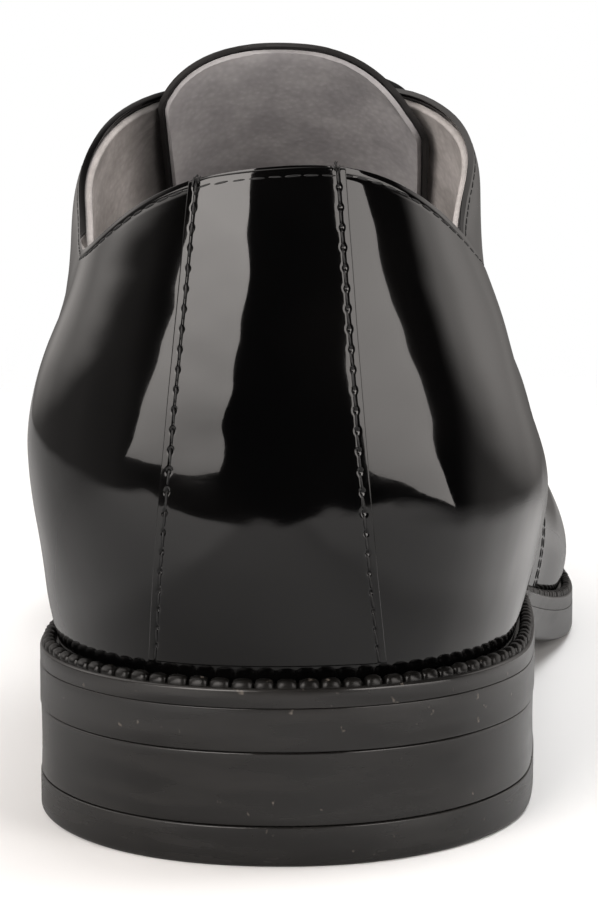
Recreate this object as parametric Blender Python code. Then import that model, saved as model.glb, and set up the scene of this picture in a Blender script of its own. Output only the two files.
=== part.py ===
"""Right-foot patent leather dress shoe with an open-laced front, one object for each piece.

The shoe stands on z = 0 with its toe towards +Y and its outer (lateral) side towards +X.
Tables and sizes are in millimetres, measured from the back edge of the heel (along) and from
the middle line of the heel (across). MM turns them into metres when a mesh is written.
"""

import math

import bmesh
import bpy
import numpy as np

MM = 0.001

# Overall sizes and the height of each layer at the heel
SOLE_LENGTH = 304.0
PIECE_GAP = 0.3
TOP_PIECE_LINE = 5.4
LIFT_LINE = 15.1
SOLE_LINE = 21.0
WELT_TOP = 23.6
BREAST_ALONG = 68.0
BREAST_HOLLOW = 4.0

# Shape of the bottom of the outsole, seen from the side
SEAT_END = 70.0
TREAD_START = 184.0
TREAD_END = 228.0
TOE_SPRING = 9.0

# Upper: leather wall, open front and raised quarters
WALL = 2.6
QUARTER_STEP = 1.0
STEP_RUN = 0.9
HEEL_CENTRE = 42.0
TOE_CENTRE = 256.0
SWEEP = 10.0
THROAT_ALONG = 152.0
THROAT_HALF_GAP = 9.0
FACING_HALF_GAP = 13.0
FACING_TOP = 110.0
CORNER_SHARPNESS = 30.0
TOPLINE_TILT = 0.085
TILT_END = 28.0

# Beaded welt
WELT_WIDTH = 11.0
BEAD_HEIGHT = 1.8
BEAD_START = 0.35
BEAD_END = 1.75

# Insole board
INSOLE_THICKNESS = 2.4
INSOLE_CLEARANCE = 0.9

# Strip down the back of the heel
STRIP_TOP_HALF = 9.8
STRIP_FOOT_HALF = 15.6
STRIP_SHIFT = 0.1
STRIP_THICKNESS = 0.9
STRIP_FOOT = 0.04

# Tongue
TONGUE_HALF_WIDTH = 25.5
TONGUE_SHIFT = 1.5
TONGUE_BASE_HALF = 15.0
TONGUE_BASE = 164.0
TONGUE_BEND = 107.0
TONGUE_RISE_ANGLE = 42.0
TONGUE_EXTENSION = 2.4
TONGUE_ROUND = 7.0
TONGUE_THICKNESS = 2.2
TONGUE_CLEARANCE = 0.8

# Lace bars and the holes they enter
EYELET_ALONG = (146.0, 138.0, 130.0, 122.0, 114.5)
EYELET_SETBACK = 7.0
EYELET_RADIUS = 1.5
LACE_RADIUS = 1.2
LACE_CLEARANCE = 0.4


class Table:
    """Stations along the shoe, one row each, read as smooth curves by column name."""

    def __init__(self, columns, rows):
        """Store the rows and work out a natural cubic curve for each column."""
        self.rows = np.array(rows, float)
        self.names = columns.split()
        self.knots = self.rows[:, 0]
        self.bends = natural_bends(self.knots, self.rows)

    def __call__(self, name, along):
        """Return the column's value at a distance along the shoe."""
        values = self.rows[:, self.names.index(name)]
        bends = self.bends[:, self.names.index(name)]
        place = np.clip(along, self.knots[0], self.knots[-1])
        return cubic(self.knots, values, bends, place)


def natural_bends(knots, values):
    """Return the second derivatives of natural cubic curves through the values."""
    count = len(knots)
    steps = np.diff(knots)
    matrix = np.eye(count)
    right = np.zeros_like(values)
    for i in range(1, count - 1):
        matrix[i, i - 1] = steps[i - 1]
        matrix[i, i] = 2.0 * (steps[i - 1] + steps[i])
        matrix[i, i + 1] = steps[i]
        after = (values[i + 1] - values[i]) / steps[i]
        before = (values[i] - values[i - 1]) / steps[i - 1]
        right[i] = 6.0 * (after - before)
    return np.linalg.solve(matrix, right)


def cubic(knots, values, bends, place):
    """Evaluate a cubic curve given by knots, values and second derivatives."""
    i = np.clip(np.searchsorted(knots, place, side="right") - 1, 0, len(knots) - 2)
    step = knots[i + 1] - knots[i]
    a = (knots[i + 1] - place) / step
    b = 1.0 - a
    bend = (a**3 - a) * bends[i] + (b**3 - b) * bends[i + 1]
    return a * values[i] + b * values[i + 1] + bend * step**2 / 6.0


# Outline of the sole from above: half widths from the heel's middle line, and how far the
# foot of the upper stands in from the edge
PLAN = Table(
    "along medial lateral margin",
    (
        (0.0, 0.0, 0.0, 2.7),
        (2.0, 11.6, 11.6, 2.7),
        (6.0, 19.0, 19.1, 2.7),
        (12.0, 25.3, 25.6, 2.7),
        (20.0, 30.4, 30.9, 2.7),
        (30.0, 33.8, 34.6, 2.7),
        (42.0, 35.0, 36.2, 2.7),
        (60.0, 34.8, 36.9, 2.7),
        (80.0, 34.0, 36.8, 2.7),
        (100.0, 33.4, 37.2, 2.7),
        (120.0, 34.6, 38.9, 2.7),
        (140.0, 38.6, 42.2, 2.7),
        (160.0, 44.2, 46.2, 2.7),
        (180.0, 49.4, 48.9, 2.8),
        (196.0, 51.9, 49.1, 2.9),
        (212.0, 52.5, 47.6, 3.0),
        (230.0, 51.4, 44.2, 3.2),
        (250.0, 48.0, 38.6, 3.4),
        (270.0, 42.0, 30.8, 3.4),
        (286.0, 34.4, 21.6, 3.4),
        (296.0, 26.3, 12.4, 3.4),
        (301.5, 18.0, 3.8, 3.4),
        (304.0, 7.0, -7.0, 3.4),
    ),
)

# Form of the upper: how far and how high it swells past its foot on each side, height of the
# crown line, exponents of the section across and upward, hollow under the ankle, and the
# crown's place across
LAST = Table(
    "along out_medial out_lateral rise_medial rise_lateral crown across up_medial up_lateral"
    " hollow_medial hollow_lateral ridge",
    (
        (0.0, 3.8, 3.8, 20.0, 20.0, 179.0, 1.20, 1.80, 1.80, 0.0, 0.0, 0.0),
        (14.0, 3.9, 3.8, 22.0, 22.0, 142.0, 1.20, 1.78, 1.75, 0.0, 0.0, 0.0),
        (28.0, 4.0, 3.7, 25.0, 24.0, 122.0, 1.20, 1.75, 1.65, 0.0, 0.0, 0.0),
        (42.0, 4.2, 3.8, 27.0, 23.0, 114.0, 1.22, 1.78, 1.58, 0.0, 0.8, 0.0),
        (60.0, 4.8, 4.0, 27.0, 20.0, 116.0, 1.35, 2.10, 1.60, 0.0, 2.8, -1.0),
        (88.0, 6.4, 4.2, 26.0, 17.0, 125.0, 1.75, 3.00, 1.90, 0.0, 4.2, -2.4),
        (104.0, 7.2, 4.0, 25.0, 16.0, 115.0, 2.35, 3.90, 2.40, 0.0, 5.4, -2.9),
        (120.0, 6.6, 3.2, 23.0, 15.0, 102.0, 2.45, 3.40, 2.40, 0.0, 4.6, -3.2),
        (150.0, 3.6, 2.2, 18.0, 13.0, 80.0, 2.20, 2.40, 1.95, 0.0, 1.8, -4.0),
        (190.0, 2.6, 1.6, 13.0, 8.0, 60.0, 2.10, 2.05, 1.55, 0.0, 0.4, -5.0),
        (225.0, 2.2, 1.6, 12.0, 9.0, 49.8, 2.10, 2.00, 1.75, 0.0, 0.0, -6.2),
        (245.0, 2.0, 1.5, 11.2, 10.2, 46.8, 2.15, 2.05, 1.98, 0.0, 0.0, -6.8),
        (256.0, 1.9, 1.9, 11.0, 11.0, 46.2, 2.20, 2.10, 2.10, 0.0, 0.0, -7.0),
        (272.0, 1.9, 1.9, 11.0, 11.0, 46.2, 2.25, 2.10, 2.10, 0.0, 0.0, -7.0),
    ),
)

# Height of the top edge on each side
TOPLINE = Table(
    "along medial lateral",
    (
        (0.0, 91.0, 91.0),
        (2.4, 90.6, 90.6),
        (6.0, 88.9, 88.9),
        (10.2, 86.3, 86.3),
        (15.2, 83.3, 83.3),
        (21.5, 80.8, 80.6),
        (29.0, 79.3, 78.6),
        (40.0, 78.6, 77.0),
        (52.0, 79.0, 77.2),
        (64.0, 81.0, 79.6),
        (76.0, 85.6, 84.6),
        (86.0, 91.2, 90.6),
        (94.0, 96.8, 96.4),
        (101.0, 102.3, 102.0),
        (108.0, 108.3, 108.2),
        (116.0, 116.0, 116.0),
        (126.0, 128.0, 128.0),
    ),
)

ORIGIN_ACROSS = -1.7
BACK_OVERHANG = 2.3
ORIGIN_ALONG = (SOLE_LENGTH - BACK_OVERHANG) / 2.0


def smooth_step(low, high, value):
    """Return 0 below low, 1 above high and a smooth rise between them."""
    s = np.clip((value - low) / (high - low), 0.0, 1.0)
    return s * s * (3.0 - 2.0 * s)


def closed_outline(count=3600):
    """Return points and outward normals round the sole, from the back by the lateral side."""
    rows = PLAN.rows
    lateral = np.column_stack((rows[:, 2], rows[:, 0]))
    medial = np.column_stack((-rows[-2:0:-1, 1], rows[-2:0:-1, 0]))
    corners = np.vstack((lateral, medial))
    size = len(corners)
    turns = np.vstack((corners, corners, corners, corners[:1]))
    chord = np.linalg.norm(np.diff(turns, axis=0), axis=1)
    knots = np.concatenate(([0.0], np.cumsum(chord)))
    bends = natural_bends(knots, turns)
    place = np.linspace(knots[size], knots[2 * size], count, endpoint=False)
    points = np.column_stack([cubic(knots, turns[:, k], bends[:, k], place) for k in range(2)])
    heading = np.roll(points, -1, axis=0) - np.roll(points, 1, axis=0)
    heading /= np.linalg.norm(heading, axis=1)[:, None]
    return points, np.column_stack((heading[:, 1], -heading[:, 0]))


OUTLINE, OUTWARD = closed_outline()


def inset_sides(inset):
    """Return the outline moved in by a distance, split into its two sides by along order."""
    amount = inset(OUTLINE[:, 1]) if callable(inset) else inset
    points = OUTLINE - OUTWARD * np.reshape(amount, (-1, 1))
    points = np.roll(points, -int(np.argmin(points[:, 1])), axis=0)
    tip = int(np.argmax(points[:, 1]))
    lateral = points[: tip + 1]
    medial = np.vstack((points[tip:], points[:1]))[::-1]
    return lateral, medial


def stations(heel=9, sides=24, toe=8):
    """Return shares of the length from back to tip, closer together at both round ends."""
    back = HEEL_CENTRE / SOLE_LENGTH
    front = TOE_CENTRE / SOLE_LENGTH
    turn = np.linspace(0.0, math.pi / 2.0, heel + 1)
    end = np.linspace(0.0, math.pi / 2.0, toe + 1)
    run = np.linspace(back, front, sides + 1)
    return np.concatenate((back * (1.0 - np.cos(turn)), run[1:-1], front + (1.0 - front) * np.sin(end)))


def ring(shares, inset):
    """Return points round the inset outline: back, lateral side, tip, medial side."""
    lateral, medial = inset_sides(inset)
    along = lateral[0, 1] + shares * (lateral[-1, 1] - lateral[0, 1])
    outer = np.interp(along, lateral[:, 1], lateral[:, 0])
    inner = np.interp(along, medial[:, 1], medial[:, 0])
    right = np.column_stack((outer, along))
    left = np.column_stack((inner, along))
    return np.vstack((right, left[-2:0:-1]))


def tread_height(along):
    """Return the height of the bottom of the outsole."""
    seat = LIFT_LINE + PIECE_GAP / 2.0
    waist = seat * (1.0 - smooth_step(SEAT_END, TREAD_START, along))
    toe = np.clip((along - TREAD_END) / (SOLE_LENGTH - TREAD_END), 0.0, 1.0)
    return waist + TOE_SPRING * toe**1.8


def layer_height(level, along):
    """Return the height of a layer given by its level at the heel."""
    return tread_height(along) + level - LIFT_LINE - PIECE_GAP / 2.0


def foot_height(along):
    """Return the height of the lower edge of the upper."""
    return layer_height(WELT_TOP + PIECE_GAP, along)


def sweep(along):
    """Return where the section that starts at a point of the foot line reaches the crown."""
    share = np.clip((along - HEEL_CENTRE) / (TOE_CENTRE - HEEL_CENTRE), 0.0, 1.0)
    return np.clip(along + SWEEP * np.sin(math.pi * share) ** 2, HEEL_CENTRE, TOE_CENTRE)


def unsweep(crown_along):
    """Return the foot-line place of the section that reaches the crown at a point."""
    feet = np.linspace(HEEL_CENTRE, TOE_CENTRE, 800)
    return np.interp(crown_along, sweep(feet), feet)


def half_gap(crown_along):
    """Return half the width of the open front, or 0 where the vamp closes it."""
    share = (THROAT_ALONG - crown_along) / (THROAT_ALONG - FACING_TOP)
    width = THROAT_HALF_GAP + (FACING_HALF_GAP - THROAT_HALF_GAP) * share
    return np.where(crown_along > THROAT_ALONG - STEP_RUN / 2.0, 0.0, width)


class Section:
    """One upright section of the upper, from its foot to the crown, on one side."""

    def __init__(self, side, foot):
        """Work out the section that starts at a point of the foot line."""
        across, along = foot
        name = "lateral" if side > 0 else "medial"
        self.crown_along = float(sweep(along))
        key = along if along < HEEL_CENTRE else self.crown_along
        self.origin = np.array((float(LAST("ridge", self.crown_along)), self.crown_along))
        self.span = np.array(foot) - self.origin
        self.reach = float(np.linalg.norm(self.span))
        self.bow = 2.0 if HEEL_CENTRE < along < TOE_CENTRE else 1.0
        self.low = float(foot_height(along))
        self.swell = self.low + float(LAST("rise_" + name, key))
        self.hollow = float(LAST("hollow_" + name, key))
        self.out = float(LAST("out_" + name, key))
        self.wide = self.reach + self.out
        self.crown = float(LAST("crown", key))
        self.across = float(LAST("across", key))
        self.up = float(LAST("up_" + name, key))
        fade = max(0.0, 1.0 - (along / TILT_END) ** 2)
        self.top = float(TOPLINE(name, along)) + TOPLINE_TILT * across * fade

    def turn_at_height(self, height):
        """Return the section's turn where it reaches a height."""
        share = np.clip((height - self.swell) / (self.crown - self.swell), 0.0, 1.0)
        return math.asin(share ** (self.up / 2.0))

    def turn_at_reach(self, reach):
        """Return the section's turn at a distance from the crown line."""
        return math.acos(min(1.0, reach / self.wide) ** (self.across / 2.0))

    def end_turn(self):
        """Return the turn at the top edge, the facing edge or the crown."""
        gap = float(half_gap(self.crown_along))
        collar = self.turn_at_height(self.top)
        if gap == 0.0:
            return collar
        facing = self.turn_at_reach(gap)
        low = min(collar, facing)
        spread = abs(collar - facing)
        return low - math.log(1.0 + math.exp(-CORNER_SHARPNESS * spread)) / CORNER_SHARPNESS

    def place(self, reach, height):
        """Return points at distances from the crown line and heights."""
        share = np.asarray(reach) / self.reach
        across = self.origin[0] + self.span[0] * share
        along = self.origin[1] + self.span[1] * share**self.bow
        return np.column_stack((across, along, height))

    def arc(self, turn):
        """Return points of the part above the swell."""
        turn = np.atleast_1d(turn)
        share = np.sin(turn) ** (2.0 / self.up)
        reach = self.wide * np.abs(np.cos(turn)) ** (2.0 / self.across)
        reach = reach - self.hollow * np.sin(math.pi * share) ** 2
        reach = np.where(turn > math.pi / 2.0 - 1e-6, 0.0, reach)
        return self.place(reach, self.swell + (self.crown - self.swell) * share)

    def profile(self, shares):
        """Return points at shares of the girth from the foot to the end."""
        s = np.linspace(0.0, 1.0, 80)
        swelling = self.reach + self.out * (1.0 - (1.0 - s) ** 2)
        lower = self.place(swelling, self.low + (self.swell - self.low) * s)
        upper = self.arc(np.linspace(0.0, self.end_turn(), 240))
        points = np.vstack((lower, upper[1:]))
        length = np.concatenate(([0.0], np.cumsum(np.linalg.norm(np.diff(points, axis=0), axis=1))))
        return np.column_stack([np.interp(shares * length[-1], length, points[:, k]) for k in range(3)])


def margin_inset(along):
    """Return how far the foot of the upper stands in from the sole's edge."""
    return PLAN("margin", along)


def shifted(points):
    """Return points moved to the shoe's own origin and turned into metres."""
    return (np.asarray(points) - np.array((ORIGIN_ACROSS, ORIGIN_ALONG, 0.0))) * MM


def make_material(name, colour, roughness):
    """Return a plain material of one colour."""
    material = bpy.data.materials.new(name)
    material.use_nodes = True
    shader = material.node_tree.nodes["Principled BSDF"]
    shader.inputs["Base Color"].default_value = (*colour, 1.0)
    shader.inputs["Roughness"].default_value = roughness
    return material


def add_object(name, bm, material):
    """Write a closed mesh into the scene as one named object."""
    bmesh.ops.recalc_face_normals(bm, faces=bm.faces)
    mesh = bpy.data.meshes.new(name)
    bm.to_mesh(mesh)
    bm.free()
    mesh.materials.append(material)
    piece = bpy.data.objects.new(name, mesh)
    bpy.context.scene.collection.objects.link(piece)
    return piece


def grid_shell(columns, wrap):
    """Return an open mesh from columns of points, joined round when wrap is set."""
    bm = bmesh.new()
    verts = [[bm.verts.new(p) for p in shifted(column)] for column in columns]
    count = len(verts)
    for i in range(count if wrap else count - 1):
        here = verts[i]
        there = verts[(i + 1) % count]
        for j in range(len(here) - 1):
            bm.faces.new((here[j], there[j], there[j + 1], here[j + 1]))
    bmesh.ops.remove_doubles(bm, verts=bm.verts, dist=2e-6)
    bm.normal_update()
    return bm


def thicken(bm, outer, inner):
    """Close an open shell into a wall between two offsets along its normals, in millimetres."""
    bm.verts.ensure_lookup_table()
    shell = list(bm.verts)
    faces = list(bm.faces)
    rim = [edge for edge in bm.edges if len(edge.link_faces) == 1]
    rim = [(edge.link_loops[0].vert, edge.link_loops[0].link_loop_next.vert) for edge in rim]
    normals = [vert.normal.copy() for vert in shell]
    twin = {}
    for vert, normal in zip(shell, normals):
        base = vert.co.copy()
        lift = outer(base) if callable(outer) else outer
        twin[vert] = bm.verts.new(base + normal * inner * MM)
        vert.co = base + normal * lift * MM
    for face in faces:
        bm.faces.new([twin[vert] for vert in reversed(face.verts)])
    for first, second in rim:
        bm.faces.new((second, first, twin[first], twin[second]))
    return bm


def stack(rings, strips):
    """Return a closed mesh through rings from bottom to top, capped by strips or flat faces."""
    bm = bmesh.new()
    verts = [[bm.verts.new(p) for p in shifted(points)] for points in rings]
    size = len(rings[0])
    for low, high in zip(verts, verts[1:]):
        for i in range(size):
            k = (i + 1) % size
            bm.faces.new((low[i], low[k], high[k], high[i]))
    for cap in (verts[0], verts[-1]):
        if not strips:
            bm.faces.new(cap)
            continue
        for k in range(size // 2):
            corners = [cap[k], cap[k + 1], cap[-k - 1], cap[-k % size]]
            unique = list(dict.fromkeys(corners))
            bm.faces.new(unique)
    return bm


def layer_ring(shares, inset, level):
    """Return a ring of the sole's outline lying on a layer height."""
    flat = ring(shares, inset)
    return np.column_stack((flat, layer_height(level, flat[:, 1])))


def heel_ring(shares, inset, height):
    """Return a ring of the heel at a height, closed by its hollowed front."""
    lateral, medial = inset_sides(inset)
    along = lateral[0, 1] + shares * (BREAST_ALONG - inset - lateral[0, 1])
    outer = np.column_stack((np.interp(along, lateral[:, 1], lateral[:, 0]), along))
    inner = np.column_stack((np.interp(along, medial[:, 1], medial[:, 0]), along))
    across = np.linspace(outer[-1, 0], inner[-1, 0], 11)[1:-1]
    middle = (outer[-1, 0] + inner[-1, 0]) / 2.0
    half = outer[-1, 0] - middle
    front = np.column_stack((across, along[-1] - BREAST_HOLLOW * (1.0 - ((across - middle) / half) ** 2)))
    flat = np.vstack((outer, front, inner[-1:0:-1]))
    return np.column_stack((flat, np.full(len(flat), height)))


def build_sole(rubber):
    """Add the outsole and the two layers of the heel."""
    shares = np.union1d(stations(8, 18, 7), np.array((TREAD_START, TREAD_END)) / SOLE_LENGTH)
    low = LIFT_LINE + PIECE_GAP / 2.0
    high = SOLE_LINE - PIECE_GAP / 2.0
    edges = ((1.0, low), (0.25, low + 0.7), (0.0, low + 1.6), (0.0, high - 0.5), (0.4, high))
    add_object("outsole", stack([layer_ring(shares, i, z) for i, z in edges], True), rubber)
    turn = np.linspace(0.0, 1.0, 14) ** 1.8
    high = LIFT_LINE - PIECE_GAP / 2.0
    low = TOP_PIECE_LINE + PIECE_GAP / 2.0
    middle = (low + high) / 2.0
    edges = ((0.35, low), (0.1, low + 0.4), (0.35, middle), (0.1, high - 0.4), (0.35, high))
    add_object("heel_lift", stack([heel_ring(turn, i, z) for i, z in edges], False), rubber)
    high = TOP_PIECE_LINE - PIECE_GAP / 2.0
    edges = ((0.7, 0.0), (0.2, 0.5), (0.0, 1.4), (0.0, high - 0.4), (0.3, high))
    add_object("heel_top_piece", stack([heel_ring(turn, i, z) for i, z in edges], False), rubber)


def build_welt(rubber):
    """Add the welt, a band under the upper with a raised bead along its edge."""
    shares = stations(9, 22, 8)
    low = SOLE_LINE + PIECE_GAP / 2.0
    bead = WELT_TOP + BEAD_HEIGHT
    edges = (
        (WELT_WIDTH, low),
        (0.3, low),
        (0.0, low + 0.4),
        (0.2, WELT_TOP),
        (BEAD_START, WELT_TOP),
        (BEAD_START + 0.25, bead),
        (BEAD_END - 0.25, bead),
        (BEAD_END, WELT_TOP),
        (WELT_WIDTH, WELT_TOP),
    )
    rings = [layer_ring(shares, i, z) for i, z in edges]
    columns = [np.array([points[i] for points in rings + rings[:1]]) for i in range(len(rings[0]))]
    add_object("welt", grid_shell(columns, True), rubber)


def build_insole(lining):
    """Add the insole board inside the foot of the upper."""
    shares = stations(8, 18, 7)

    def inside(extra):
        return lambda along: margin_inset(along) + WALL + INSOLE_CLEARANCE + extra

    low = WELT_TOP + PIECE_GAP
    high = low + INSOLE_THICKNESS
    edges = ((0.3, low), (0.0, low + 0.4), (0.0, high - 0.5), (0.6, high))
    add_object("insole", stack([layer_ring(shares, inside(i), z) for i, z in edges], True), lining)


def foot_ring(shares):
    """Return the foot line of the upper and the side each of its points is on."""
    flat = ring(shares, margin_inset)
    half = len(shares)
    side = np.ones(len(flat))
    side[half:] = -1.0
    return flat, side


def upper_stations():
    """Return stations of the upper, with a close pair where the quarters step over the vamp."""
    lateral, _ = inset_sides(margin_inset)
    start = lateral[0, 1]
    span = lateral[-1, 1] - start
    seam = unsweep(np.array((THROAT_ALONG - STEP_RUN, THROAT_ALONG)))
    pair = (seam - start) / span
    corner = (np.linspace(92.0, 110.0, 8) - start) / span
    regular = stations(10, 26, 9)
    clear = np.abs(regular - pair.mean()) > 2.2 / span
    clear &= (regular < corner[0] - 1.5 / span) | (regular > corner[-1] + 1.5 / span)
    return np.sort(np.concatenate((regular[clear], corner, pair)))


def build_upper(leather):
    """Add the hollow upper, open at the collar, the front and underneath, with lace holes."""
    shares = upper_stations()
    feet, sides = foot_ring(shares)
    girth = np.concatenate((np.linspace(0.0, 0.24, 5)[:-1], np.linspace(0.24, 1.0, 10)))
    columns = [Section(side, foot).profile(girth) for foot, side in zip(feet, sides)]
    bm = grid_shell(columns, True)
    behind = quarter_test()
    thicken(bm, lambda base: 0.0 if behind(base) else -QUARTER_STEP, -WALL)
    upper = add_object("upper", bm, leather)
    holes = add_object("lace_holes", hole_cutters(), leather)
    holes.hide_render = True
    holes.display_type = "WIRE"
    cut = upper.modifiers.new("lace_holes", "BOOLEAN")
    cut.operation = "DIFFERENCE"
    cut.solver = "EXACT"
    cut.object = holes


def quarter_test():
    """Return a test that tells the shell's points behind the quarter's front edge."""
    seam = float(unsweep(THROAT_ALONG - STEP_RUN / 2.0))
    lateral, medial = inset_sides(margin_inset)
    lines = []
    for side, points in ((1.0, lateral), (-1.0, medial)):
        foot = (float(np.interp(seam, points[:, 1], points[:, 0])), seam)
        lines.append((side, Section(side, foot)))

    def behind(base):
        point = np.array((base.x, base.y)) / MM + np.array((ORIGIN_ACROSS, ORIGIN_ALONG))
        for side, section in lines:
            share = (point[0] - section.origin[0]) / section.span[0]
            if share >= -1e-6:
                return point[1] < section.origin[1] + section.span[1] * max(0.0, share) ** 2
        return False

    return behind


def crown_section(side, crown_along):
    """Return the section whose crown point is at a place along the shoe."""
    lateral, medial = inset_sides(margin_inset)
    points = lateral if side > 0 else medial
    along = float(unsweep(crown_along))
    return Section(side, (float(np.interp(along, points[:, 1], points[:, 0])), along))


def crown_point(side, crown_along, reach, lift):
    """Return a point over the instep, a distance from the crown line, moved out by a lift."""

    def at(place, distance):
        section = crown_section(side, place)
        return section.arc(section.turn_at_reach(distance))[0]

    point = at(crown_along, reach)
    ahead = at(crown_along + 0.5, reach) - at(crown_along - 0.5, reach)
    beside = at(crown_along, reach + 0.5) - at(crown_along, max(0.0, reach - 0.5))
    normal = np.cross(beside, ahead) * side
    return point + normal / np.linalg.norm(normal) * lift, normal / np.linalg.norm(normal)


def tube(path, radius, sides):
    """Return a closed round bar along a path."""
    bm = bmesh.new()
    path = np.asarray(path)
    heading = np.gradient(path, axis=0)
    rings = []
    for point, ahead in zip(path, heading):
        ahead = ahead / np.linalg.norm(ahead)
        beside = np.cross(ahead, (0.0, 1.0, 0.0))
        beside /= np.linalg.norm(beside)
        over = np.cross(ahead, beside)
        angle = np.linspace(0.0, 2.0 * math.pi, sides, endpoint=False)
        circle = point + radius * (np.outer(np.cos(angle), beside) + np.outer(np.sin(angle), over))
        rings.append([bm.verts.new(p) for p in shifted(circle)])
    for low, high in zip(rings, rings[1:]):
        for i in range(sides):
            k = (i + 1) % sides
            bm.faces.new((low[i], low[k], high[k], high[i]))
    bm.faces.new(rings[0])
    bm.faces.new(rings[-1])
    return bm


def hole_cutters():
    """Return one mesh with a short bar through each lace hole."""
    bm = bmesh.new()
    for along in EYELET_ALONG:
        for side in (1.0, -1.0):
            reach = float(half_gap(along)) + EYELET_SETBACK
            point, normal = crown_point(side, along, reach, 0.0)
            path = np.array([point + normal * s for s in (-6.0, 6.0)])
            scratch = bpy.data.meshes.new("hole")
            bar = tube(path, EYELET_RADIUS, 10)
            bar.to_mesh(scratch)
            bar.free()
            bm.from_mesh(scratch)
            bpy.data.meshes.remove(scratch)
    return bm


def build_lace(cord):
    """Add a straight lace bar over each pair of holes."""
    lift = LACE_CLEARANCE + LACE_RADIUS
    for number, along in enumerate(EYELET_ALONG, 1):
        reach = float(half_gap(along)) + EYELET_SETBACK
        shares = np.linspace(0.0, 1.0, 6)
        right = [crown_point(1.0, along, reach * (1.0 - s), lift)[0] for s in shares[:-1]]
        left = [crown_point(-1.0, along, reach * s, lift)[0] for s in shares[1:]]
        ridge = (crown_point(1.0, along, 0.0, lift)[0] + crown_point(-1.0, along, 0.0, lift)[0]) / 2.0
        add_object(f"lace_bar_{number}", tube(np.array(right + [ridge] + left), LACE_RADIUS, 8), cord)


def build_tongue(leather):
    """Add the tongue, which lies under the facings and rises past their top."""
    lift = -(WALL + TONGUE_CLEARANCE)
    angle = math.radians(TONGUE_RISE_ANGLE)
    rise = np.array((0.0, -math.cos(angle), math.sin(angle)))
    near = TONGUE_BEND + TONGUE_ROUND / 2.0
    lower = np.concatenate((np.linspace(TONGUE_BASE, near, 9), np.linspace(near, TONGUE_BEND, 4)[1:]))
    beyond = TONGUE_EXTENSION * np.sin(np.linspace(0.0, math.pi / 2.0, 6))[1:]
    across = np.linspace(-1.0, 1.0, 13)
    columns = []
    for along, extra in [(a, 0.0) for a in lower] + [(TONGUE_BEND, e) for e in beyond]:
        share = (TONGUE_BASE - along) / (TONGUE_BASE - TONGUE_BEND)
        half = TONGUE_BASE_HALF + (TONGUE_HALF_WIDTH - TONGUE_BASE_HALF) * math.sin(share * math.pi / 2.0)
        left = TONGUE_EXTENSION - extra + (along - TONGUE_BEND) / math.cos(angle)
        left = max(0.0, left)
        if left < TONGUE_ROUND:
            half *= max(0.3, (1.0 - (1.0 - left / TONGUE_ROUND) ** 3.5) ** (1.0 / 3.5))
        column = []
        for s in across:
            reach = s * half + TONGUE_SHIFT * share
            side = 1.0 if reach >= 0.0 else -1.0
            column.append(crown_point(side, along, abs(reach), lift)[0] + rise * extra)
        columns.append(np.array(column))
    bm = grid_shell(columns, False)
    if sum(face.normal.z for face in bm.faces) < 0.0:
        bmesh.ops.reverse_faces(bm, faces=bm.faces)
        bm.normal_update()
    thicken(bm, 0.0, -TONGUE_THICKNESS)
    add_object("tongue", bm, leather)


def build_back_strip(leather):
    """Add the strip that covers the back of the heel, lying on the upper's own surface."""
    feet, sides = foot_ring(stations(60, 30, 9))
    near = [(foot, side) for foot, side in zip(feet, sides) if foot[1] < 18.0]
    near.sort(key=lambda item: item[0][0])
    girth = np.linspace(STRIP_FOOT, 0.995, 13)
    walls = np.array([Section(side, foot).profile(girth) for foot, side in near])
    columns = []
    for s in np.linspace(-1.0, 1.0, 9):
        column = []
        for j, share in enumerate(girth):
            half = STRIP_FOOT_HALF + (STRIP_TOP_HALF - STRIP_FOOT_HALF) * share
            across = STRIP_SHIFT + s * half
            column.append([np.interp(across, walls[:, j, 0], walls[:, j, k]) for k in range(3)])
        columns.append(np.array(column))
    bm = grid_shell(columns, False)
    if sum(face.normal.y for face in bm.faces) > 0.0:
        bmesh.ops.reverse_faces(bm, faces=bm.faces)
        bm.normal_update()
    thicken(bm, PIECE_GAP + STRIP_THICKNESS, PIECE_GAP)
    add_object("back_strip", bm, leather)


def main():
    """Build every piece of the shoe."""
    for item in list(bpy.data.objects):
        bpy.data.objects.remove(item)
    leather = make_material("patent_leather", (0.012, 0.012, 0.013), 0.12)
    rubber = make_material("sole_rubber", (0.03, 0.03, 0.03), 0.5)
    lining = make_material("lining_leather", (0.22, 0.21, 0.21), 0.7)
    cord = make_material("lace_cord", (0.02, 0.02, 0.02), 0.6)
    build_sole(rubber)
    build_welt(rubber)
    build_insole(lining)
    build_upper(leather)
    build_back_strip(leather)
    build_tongue(leather)
    build_lace(cord)


main()
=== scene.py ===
"""Dressed scene of a right-foot patent leather dress shoe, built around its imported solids.

Shapes are worked out in millimetres, from the back edge of the heel (along) and from the heel's
middle line (across), as the solids are. Meshes are written in metres in the solids' own frame.
"""

from __future__ import annotations

import logging
import math
from dataclasses import dataclass, field
from enum import Enum
from functools import cached_property, reduce
from typing import Callable, Iterable, Sequence

import bpy
import numpy as np
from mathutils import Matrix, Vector, noise
from mathutils.kdtree import KDTree

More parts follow.
